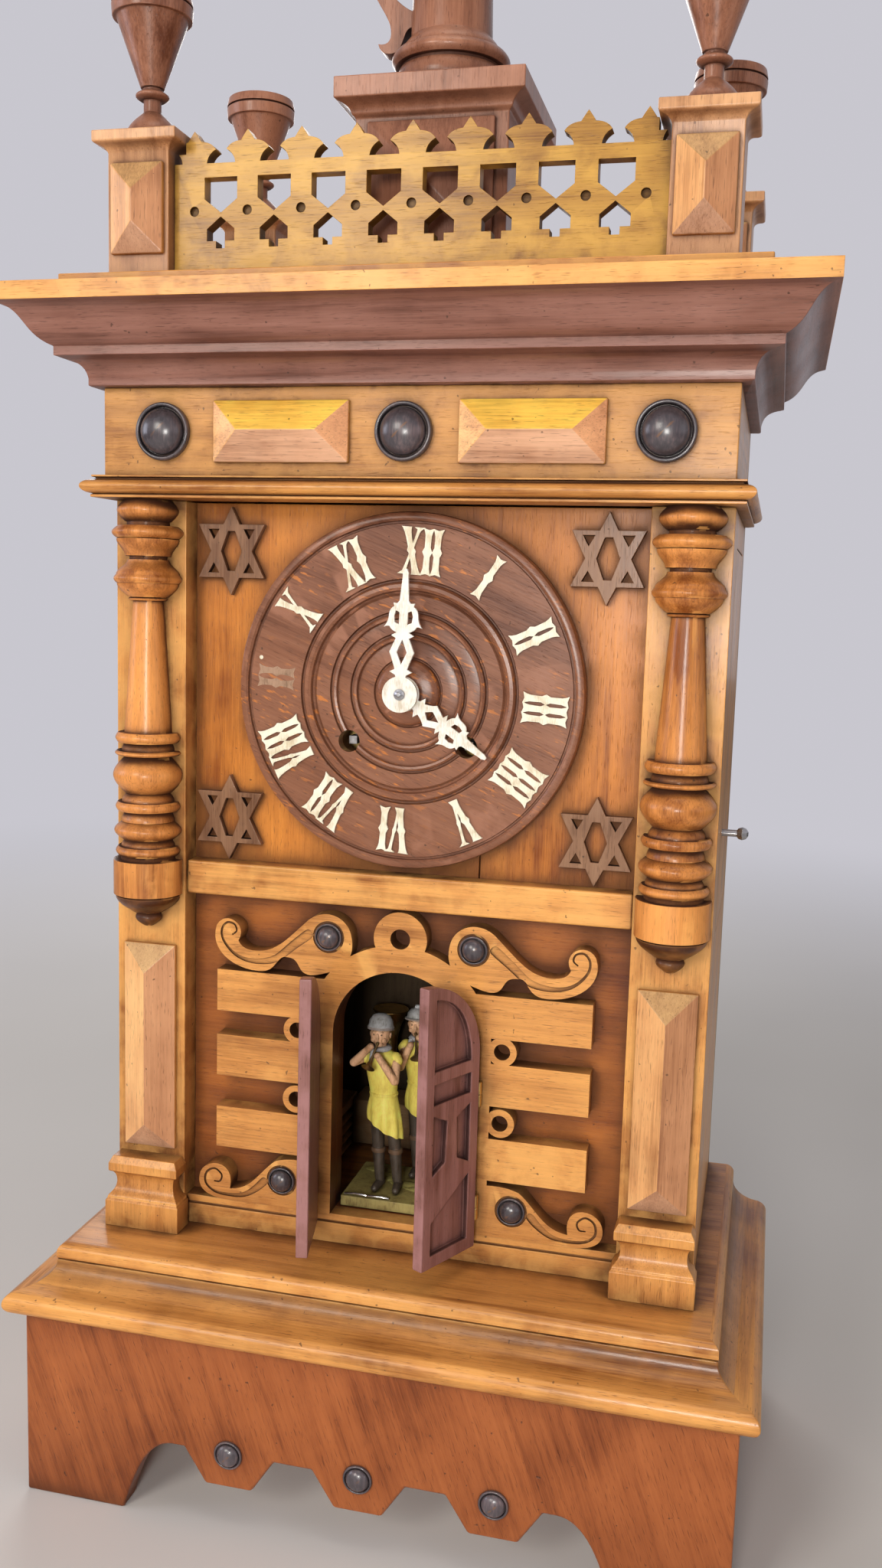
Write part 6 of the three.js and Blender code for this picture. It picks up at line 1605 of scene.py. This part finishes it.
class MakeDial(ClockMaker, bpy.types.Operator):
    """Turned wooden dial with its bone numerals"""

    bl_idname = "clock.make_dial"
    bl_label = "Dial"

    numerals = ["XII", "I", "II", "III", "IIII", "V", "VI", "VII", "VIII", "", "X", "XI"]

    def stroke(self, x, foot, head):
        """Upright with flared, hollowed ends and a cusp in the middle."""
        mid = (foot + head) / 2
        side = [(3.1, foot), (2.3, foot + 1.7), (1.75, foot + 3.8), (1.6, mid - 2.4), (2.75, mid),
                (1.6, mid + 2.4), (1.75, head - 3.8), (2.3, head - 1.7), (3.1, head)]
        points = [(x + w, z) for w, z in side] + [(x, head - 0.9)]
        return points + [(x - w, z) for w, z in reversed(side)] + [(x, foot + 0.9)]

    def slant(self, x0, z0, x1, z1, wide):
        """Sloping stroke from its foot to its head: level ends, hollowed sides and a cusp in the middle."""
        side = [(0, 1.3), (0.1, 0.95), (0.22, 0.8), (0.42, 0.76), (0.5, 1.2), (0.58, 0.76), (0.78, 0.8),
                (0.9, 0.95), (1, 1.3)]
        edges = []
        for hand, steps in ((0.5, side), (-0.5, side[::-1])):
            edges += [(x0 + (x1 - x0) * t + hand * k * wide, z0 + (z1 - z0) * t) for t, k in steps]
        return edges

    def figure(self, text, foot, head):
        """Outlines of one numeral, centred on x = 0."""
        widths = {"I": 5.25, "V": 12.0, "X": 12.0}
        x = -sum(widths[c] for c in text) / 2
        outlines = []
        for letter in text:
            mid = x + widths[letter] / 2
            x += widths[letter]
            if letter == "I":
                outlines.append(self.stroke(mid, foot, head))
                continue
            feet, heads = ((0.6, 0.6), (-3.6, 4.2)) if letter == "V" else ((3.6, -3.6), (-3.6, 3.6))
            for start, end, wide in zip(feet, heads, (4.0, 1.9)):
                outlines.append(self.slant(mid + start, foot, mid + end, head, wide))
            for end in (mid + offset for offset in heads):
                outlines.append([(end - 3.0, head), (end, head - 2.2), (end + 3.0, head)])
                if letter == "X":
                    outlines.append([(end - 3.0, foot), (end + 3.0, foot), (end, foot + 2.2)])
        return outlines

    def execute(self, context):
        sizes = self.sizes
        profile = [
            (6, 0), (93, 0), (95, 2), (95, 8), (94.5, 9.4), (93.2, 10), (91.4, 10), (90.4, 9.2), (90, 7.6),
            (89.2, 7.6), (88.8, DIAL_FACE), (60.2, DIAL_FACE), (59.6, 6.9), (58.8, 6.9), (58.4, 8.8),
            (57.4, 10), (55.6, 10.2), (54.2, 9.4), (53.6, 7.2), (52.6, 6.6), (51.4, 7.4), (43.8, 7.4),
            (43.2, 6.2), (42.4, 6.2), (42.0, 8.2), (41.0, 9.1), (39.8, 8.8), (39.2, 7.0), (38.2, 7.2),
            (32.4, 7.4), (31.8, 6.2), (31.0, 6.2), (30.6, 8.2), (29.6, 9.2), (28.4, 8.8), (27.8, 7.0),
            (26.8, 7.3), (19.0, 7.6), (18.4, 6.6), (17.8, 6.8), (17.2, 9.6), (16.2, 10.8), (14, 11.8),
            (6, 12.3)]
        middle = facing(0, PANEL_Y, DIAL_Z)
        finish = timber("dial_walnut", "X", 16.1)
        drills = Workpiece("drills")
        for side in (-1, 1):
            drills.add(rod(side * WIND_X, WIND_Z, WIND_HOLE, PANEL_Y - 20, PANEL_Y + 2), finish)
        Workpiece("turned_dial").add(lathe(profile, 128, ring=True), finish, at=middle).settle(
            "case", "dial_wood", "dial", crisp=1, bore=drills)

        face = PANEL_Y - DIAL_FACE
        rise = sizes.numeral_rise / MM
        bone = ivory("numeral_bone", colours().bone)
        marks = Workpiece("numerals")
        turn = Matrix.Translation((0, 0, DIAL_Z))
        for hour, text in enumerate(self.numerals):
            if not text:
                continue
            outlines = self.figure(text, sizes.numeral_foot / MM, sizes.numeral_head / MM)
            spin = turn @ Matrix.Rotation(sizes.dial_turn + hour * pi / 6, 4, "Y")
            marks.add(sawn(outlines, front=face - rise, thick=rise + 0.3), bone, at=spin)
        marks.settle("case", "bone", crisp=0.5)
        glue = Workpiece("glue_marks")
        spin = turn @ Matrix.Rotation(sizes.dial_turn + 9 * pi / 6, 4, "Y")
        stain = paint("old_glue", (0.50, 0.31, 0.20), chips=0.4, seed=4.0, dirt_and_shade=0.0)
        for x in (-3.4, 3.0):
            glue.add(sawn([self.stroke(x, 64, 85)], front=face - 0.06, thick=0.2), stain, at=spin)
        glue.add(lathe(turning([("line", 0.4, 1.1, 1.1), ("swell", 0.6, 1.1, 0)]), 16), bone,
                 at=spin @ facing(9.5, face + 0.2, 84))
        glue.settle("case", "bone", worn=0)
        return {"FINISHED"}


class MakeHands(ClockMaker, bpy.types.Operator):
    """Fretted bone hands and the nut that holds them"""

    bl_idname = "clock.make_hands"
    bl_label = "Hands"

    minute_length, hour_length = 65, 56
    minute_turn, hour_turn = 1.7, 124.5  # degrees past twelve

    def outline(self, length):
        """Half of a hand, drawn up from its boss: collar, lozenge, crown and pointer."""
        k = length / self.minute_length
        pen = Pen(2.6, 8.6).line((3.0, 10.2), (6.2, 11.8), (3.4, 13.2))
        pen.bend((4.6, 17), (6.7, 22.0 * k), 5).line((3.6, 29.2 * k), (6.2, 30.6 * k), (3.4, 32.2 * k))
        pen.bend((6.6, 33.4 * k), (7.2, 35.2 * k), 5).bend((8.6, 35.6 * k), (10.4, 34.6 * k), 4)
        pen.bend((8.0, 37.4 * k), (7.9, 40.6 * k), 5).bend((7.8, 44.4 * k), (5.2, 45.6 * k), 5)
        pen.line((5.8, 47.4 * k), (3.6, 47.2 * k), (2.5, 48.6 * k))
        pen.line((1.5, length - 3.5), (1.6, length - 2.2), (0.7, length))
        half = pen.points
        cuts = [[(0, 15.8), (2.7, 22.0 * k), (0, 28.6 * k), (-2.7, 22.0 * k)]]
        for side in (-1, 1):
            cuts.append([(side * x, z * k) for x, z in (
                (2.3, 36.4), (4.6, 37.4), (5.0, 40.6), (4.2, 43.4), (2.3, 42.6))])
        return half + mirrored(half)[::-1], cuts

    def execute(self, context):
        bone = ivory("hand_bone", colours().hand_bone, 0.7)
        thick, boss, hole = 1.6, 9.5, 2.5
        minute_y, hour_y = high("minute_hand").y - thick, low("hour_hand").y
        for name, length, y, turn in (
            ("minute", self.minute_length, minute_y, self.minute_turn),
            ("hour", self.hour_length, hour_y, self.hour_turn),
        ):
            rim, cuts = self.outline(length)
            spin = Matrix.Translation((0, 0, DIAL_Z)) @ Matrix.Rotation(radians(turn), 4, "Y")
            piece = Workpiece(f"{name}_pointer").add(
                sawn([rim, disc(0, 0, boss, 40)], [*cuts, disc(0, 0, hole, 20)], front=y, thick=thick),
                bone, at=spin)
            if name == "hour":
                end = high("hour_hand").y
                pipe = [(hole, 0), (4, 0), (4, end - y - 1), (hole, end - y - 1)]
                piece.add(lathe(pipe, 32, ring=True), brass(), at=spin @ facing(0, end, 0))
            piece.settle(name, "bone", f"{name}_hand", crisp=1)
        nut = turning([("line", 0.8, 2.9, 2.9), ("swell", 1.2, 2.9, 1)])
        back = high("hand_nut").y
        Workpiece("nut").add(
            lathe(nut, 32), steel(), at=facing(0, back, DIAL_Z),
        ).settle("minute", "steel", "hand_nut", crisp=1)
        return {"FINISHED"}


class MakeMovement(ClockMaker, bpy.types.Operator):
    """Plates, trains, pendulum, shelf and pinned barrel behind the dial"""

    bl_idname = "clock.make_movement"
    bl_label = "Movement"

    def execute(self, context):
        for name in ("movement_front_plate", "movement_back_plate"):
            redress(f"{name}_sheet", name, brass(), "case", "brass", crisp=1)
        for name, body, finish, slot in (
            ("going_winding_arbor", "going_winding", steel(), "steel"),
            ("music_winding_arbor", "music_winding", steel(), "steel"),
            ("going_great_wheel", "going_wheel", brass(), "brass"),
            ("music_great_wheel", "music_wheel", brass(), "brass"),
            ("centre_arbor", "minute", steel(), "steel"), ("fly", "fly", brass(), "brass"),
            ("pendulum", "pendulum", brass(), "brass"),
        ):
            redress(f"{name}_piece", name, finish, body, slot, crisp=0.5)
        redress("shelf_board", "movement_shelf", timber("pine", "X", 17.1), "case", "pine", crisp=2)
        lo, hi = low("pin_barrel"), high("pin_barrel")
        axis = (lo + hi) / 2
        along = Matrix.Translation((lo.x, axis.y, axis.z)) @ Matrix.Rotation(pi / 2, 4, "Y")
        members = [("line", 10, 2.2, 2.2), ("line", 112, 21, 21), ("line", 10, 2.2, 2.2)]
        Workpiece("tune_barrel").add(self.turned(members), timber("pine", "X", 17.6), at=along).settle(
            "pin_barrel", "pine", "pin_barrel", crisp=2)
        pins = grown(
            "barrel_pins", pin_tree(), count=self.sizes.barrel_pins, radius=20.6 * MM, span=104 * MM, tracks=26,
            pin_radius=0.35 * MM, pin_length=1.9 * MM, centre=axis * MM, seed=7, finish=brass())
        place(pins, "pin_barrel", "brass")
        return {"FINISHED"}


class MakeWind(ClockMaker, bpy.types.Operator):
    """Pleated bellows, its board, and the chest of little horns"""

    bl_idname = "clock.make_wind"
    bl_label = "Wind supply"

    def execute(self, context):
        lo, hi = low("bellows"), high("bellows")
        pleats, deep, sag, across = self.sizes.pleats, 3.6, 1.2, 10
        shares = [i / across for i in range(across)]
        steps, rings = 8 * pleats, []
        for k in range(steps + 1):
            t = k / steps
            drawn = 0.5 - 0.5 * cos(2 * pi * pleats * t)
            fold, dips = deep * drawn, [sag * sin(pi * s) * drawn for s in shares]
            x0, x1, y0, y1 = lo.x + fold, hi.x - fold, lo.y + fold, hi.y - 0.4 * fold
            ring = [(x0 + (x1 - x0) * s, y0 + dip) for s, dip in zip(shares, dips)]
            ring += [(x1 - dip, y0 + (y1 - y0) * s) for s, dip in zip(shares, dips)]
            ring += [(x1 - (x1 - x0) * s, y1) for s in shares]
            ring += [(x0 + dip, y1 - (y1 - y0) * s) for s, dip in zip(shares, dips)]
            rings.append([(x, y, lo.z + (hi.z - lo.z) * t) for x, y in ring])
        bellows = Workpiece("bellows_leather").add(tube(rings), hide("bellows_hide", colours().leather)).raw()
        bellows.data.set_sharp_from_angle(angle=radians(50))
        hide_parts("bellows")
        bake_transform(bellows)
        redress("bellows_lid", "bellows_board", timber("pine", "X", 18.2), "bellows_top", "pine")

        lo, hi = low("trumpet_chest"), high("trumpet_chest")
        horns, chest_top = 5, lo.z + 30
        chest = Workpiece("horn_chest").add(
            board(lo.x, hi.x, lo.y, hi.y, lo.z, chest_top), timber("pine", "X", 18.6))
        pitch = (hi.x - lo.x + 0.3) / horns
        for k in range(horns):
            tall = 60 + 9 * k
            horn = self.turned([
                ("line", 1, 4, 4), ("line", tall * 0.6, 3, 5), ("hollow", tall * 0.4, 5, 11.4),
                ("bead", 1.2, 11.4, 12)], 40)
            chest.add(horn, brass(), at=Matrix.Translation(
                (lo.x - 0.3 + (k + 0.5) * pitch, (lo.y + hi.y) / 2, chest_top - 1)))
        chest.settle("case", "brass", "trumpet_chest", crisp=1)
        return {"FINISHED"}


class MakeTrumpeters(ClockMaker, bpy.types.Operator):
    """Two carved and painted trumpeters on their mossy platform"""

    bl_idname = "clock.make_trumpeters"
    bl_label = "Trumpeters"

    tall, drawn = 104, 102  # height of a figure, and the height that its parts are drawn for

    headgear = {
        "cap": [(0, 9.0), (2.6, 8.8), (5.0, 7.6), (6.6, 5.0), (7.0, 2.4), (7.7, 1.2), (7.5, 0), (0, 0)],
        "helmet": [(0, 7.2), (1.8, 7.0), (4.6, 6.0), (6.4, 3.6), (6.8, 1.4), (8.0, 0.8), (7.8, 0), (0, 0)],
    }

    def coat(self, at, slope):
        """Sleeveless coat, drawn in at the waist, with a pleated skirt whose hem slopes."""
        levels = [(30, 9.6), (35, 9.8), (41, 9.6), (47, 9.0), (52, 8.2), (56, 7.7), (61, 8.2), (67, 9.0),
                  (73, 9.4), (77, 8.9), (80, 7.2), (82.5, 4.0)]
        facets, rings = 60, []
        for z, radius in levels:
            loose = max(0, (56 - z) / 26)
            rings.append([])
            for k in range(facets):
                a = 2 * pi * k / facets
                r = radius * (1 + 0.07 * loose * cos(9 * a) + 0.02 * loose * cos(5 * a + 1))
                x, y = r * cos(a), 0.78 * r * sin(a)
                rings[-1].append(at(x, y, z + (6 - slope * x) * loose))
        return tube(rings)

    def trumpeter(self, name, x, y, side, cap_style):
        u = self.tall / self.drawn
        foot = high("figure_platform").z + 0.3
        flesh = paint("flesh_paint", colours().flesh, seed=1.0, chips=0.25)
        boots = paint("boot_paint", colours().boots)
        tunic = paint("tunic_paint", colours().tunic, seed=2.0, chips=0.05, dirt_and_shade=0.3, deep=0.85)
        cap = paint("cap_paint", colours().cap, seed=3.0)
        collar = paint("collar_paint", colours().collar, seed=3.5, chips=0.3)

        def at(dx, dy, dz):
            lean = 0.075 * (50 - dz)
            return x + (dx + lean) * u, y + dy * u, foot + dz * u

        def stick(finish, start, end, first, last, facets=20):
            piece.add(limb(at(*start), at(*end), first * u, last * u, facets), finish)

        def lump(finish, spot, radii, facets=16, rings=8):
            piece.add(ball(at(*spot), [r * u for r in radii], facets, rings), finish)

        def band(finish, spot, profile, facets, squash=1.0):
            ring = lathe([(r * u, h * u) for r, h in profile], facets, ring=True)
            piece.add(ring, finish, at=Matrix.Translation(at(*spot)) @ Matrix.Diagonal((1, squash, 1, 1)))

        piece = Workpiece(name).add(self.coat(at, 0.55), tunic)
        for s in (-1, 1):
            stick(boots, (s * 4.4, 0, 46), (s * 4.9, 0.6, 24), 4.2, 3.5)
            stick(boots, (s * 4.9, 0.6, 24), (s * 5.2, 0.5, 5), 3.6, 2.6)
            stick(boots, (s * 5.2, 2.2, 2.7), (s * 6.2, -7.4, 2.1), 2.7, 2.0)
            band(boots, (s * 5.0, 0.6, 21), [(3.1, 0), (4.1, 0.4), (4.3, 1.6), (4.0, 2.8), (3.1, 3.2)], 24)
        band(tunic, (0, 0, 55), [(6.8, 0), (8.1, 0.2), (8.4, 1.1), (8.1, 2.0), (6.8, 2.2)], 40, 0.8)
        band(collar, (0, 0, 82), [(3.0, 0), (5.4, -0.6), (6.1, 0.4), (5.2, 1.7), (3.0, 2.0)], 28)
        stick(collar, (-3.5, -4.6, 81.5), (-4.6, -7.0, 76), 1.7, 1.1, 14)
        stick(flesh, (0, 0, 81), (0, -0.4, 87), 3.2, 3.1)
        lump(flesh, (0, -0.2, 90.6), (5.6, 6.2, 7.3), 24, 12)
        stick(flesh, (0, -6.0, 91.6), (0, -6.9, 89.6), 0.75, 1.05, 12)
        stick(flesh, (-2.6, -5.2, 92.6), (2.6, -5.2, 92.6), 0.75, 0.75, 12)
        lump(flesh, (0, -4.2, 85.8), (2.6, 2.2, 1.7))
        for s in (-1, 1):
            lump(boots, (s * 2.1, -5.6, 91.4), (0.62, 0.45, 0.5), 12, 6)
            lump(flesh, (s * 2.9, -4.5, 88.2), (1.7, 1.5, 1.6), 14)
            lump(flesh, (s * 5.5, 0.2, 90.2), (0.8, 1.3, 1.7), 12)
        tip = Matrix.Translation(at(0, 0.7, 93)) @ Matrix.Rotation(radians(-9), 4, "X")
        piece.add(lathe([(r * u, h * u) for r, h in self.headgear[cap_style]], 32), cap, at=tip)
        if cap_style == "helmet":
            lump(collar, (0, 0.4, 100.4), (1.7, 1.7, 1.6))
        for s, bend, hand in (
            (side, (side * 15, -5, 74), (side * 3.0, -10.5, 86)),
            (-side, (-side * 9.5, -9, 67), (-side * 1.6, -13.2, 82)),
        ):
            stick(tunic, (s * 8.0, 0, 77.4), (s * 9.6, -1.2, 76), 3.3, 2.9)
            stick(flesh, (s * 8.4, 0, 77), bend, 2.8, 2.5)
            stick(flesh, bend, hand, 2.5, 1.8)
            lump(flesh, hand, (2.0, 2.2, 1.8))
        horn = metal("trumpet_brass", (0.30, 0.20, 0.085), (0.06, 0.040, 0.022), 0.4, 0.9)
        mouth, rim = Vector(at(0, -6.4, 87)), Vector(at(side * 3, -17.4, 76))
        long = (rim - mouth).length
        flare = [(0, 0), (0.9, 0), (0.9, 1), (0.65, 2), (0.7, long * 0.55), (1.0, long * 0.75),
                 (1.8, long * 0.9), (3.9, long), (3.4, long - 0.2), (1.2, long * 0.9), (0, long * 0.86)]
        piece.add(lathe([(r * u, h) for r, h in flare], 28), horn, at=aimed(mouth, rim - mouth))
        piece.settle("case", "painted_wood", name.replace("_figure", "_trumpeter"), worn=0, angle=48)

    def execute(self, context):
        moss = paint("moss_paint", colours().moss, chips=0.35, seed=5.0)
        lo, hi = low("figure_platform"), high("figure_platform")
        ground = Workpiece("mossy_platform").add(carried("figure_platform"), moss)
        tufts = 26
        for k in range(tufts):
            x = lo.x + 5 + (k * 0.618 % 1) * (hi.x - lo.x - 10)
            y = lo.y + 5 + (k * 0.377 % 1) * (hi.y - lo.y - 10)
            size = 2.4 + 2.2 * (k * 0.731 % 1)
            ground.add(ball((x, y, hi.z - 0.5), (1.5 * size, 1.2 * size, 0.26 * size), 14, 6), moss)
        ground.settle("case", "olive_paint", "figure_platform")
        wire = Workpiece("platform_wire")
        bright = metal("bright_wire", (0.75, 0.75, 0.76), (0.3, 0.28, 0.26), 0.2)
        path = [(-33, 2.2, 0.6), (-27, 1.6, 1.4), (-20, 1.8, 0.9), (-12, 1.4, 1.3), (-7, 2.4, 0.6)]
        spots = [(x, lo.y + y, hi.z + z) for x, y, z in path]
        for start, end in zip(spots, spots[1:]):
            wire.add(limb(start, end, 0.6, 0.6, 12, 3), bright)
        wire.settle("case", "steel", worn=0)
        front = PANEL_Y + 1
        self.trumpeter("left_figure", -15, front + 17, -1, "cap")
        self.trumpeter("right_figure", 1, front + 41, 1, "helmet")
        return {"FINISHED"}


class MakeSideDoor(ClockMaker, bpy.types.Operator):
    """Door in the right side, with its turn catch"""

    bl_idname = "clock.make_side_door"
    bl_label = "Side door"

    def execute(self, context):
        redress("side_door_board", "side_door", timber("walnut", "Z", 19.2), "side_door", "walnut")
        redress("turn_catch", "side_door_catch", steel(), "catch", "steel", crisp=1)
        return {"FINISHED"}


MAKERS = (
    MakeStage, MakePlinth, MakeBase, MakeCase, MakeColumns, MakeFret, MakeDoors, MakeEntablature, MakeGallery,
    MakeTower, MakeDial, MakeHands, MakeMovement, MakeWind, MakeTrumpeters, MakeSideDoor,
)


class ClockPanel(bpy.types.Panel):
    """Sidebar list of the clock's pieces, sizes and colours."""

    bl_idname = "VIEW3D_PT_trumpeter_clock"
    bl_label = "Trumpeter Clock"
    bl_space_type = "VIEW_3D"
    bl_region_type = "UI"
    bl_category = "Clock"

    def draw(self, context):
        for maker in MAKERS:
            self.layout.operator(maker.bl_idname)
        for group in (context.scene.clock_sizes, context.scene.clock_colours):
            for key in group.__annotations__:
                self.layout.prop(group, key)


CLASSES = (ClockSizes, ClockColours, *MAKERS, ClockPanel)


def register():
    for item in CLASSES:
        bpy.utils.register_class(item)
    bpy.types.Scene.clock_sizes = PointerProperty(type=ClockSizes)
    bpy.types.Scene.clock_colours = PointerProperty(type=ClockColours)


def unregister():
    del bpy.types.Scene.clock_sizes
    del bpy.types.Scene.clock_colours
    for item in reversed(CLASSES):
        bpy.utils.unregister_class(item)


def main():
    register()
    for maker in MAKERS:
        getattr(bpy.ops.clock, maker.bl_idname.split(".")[1])()


if __name__ == "__main__":
    main()
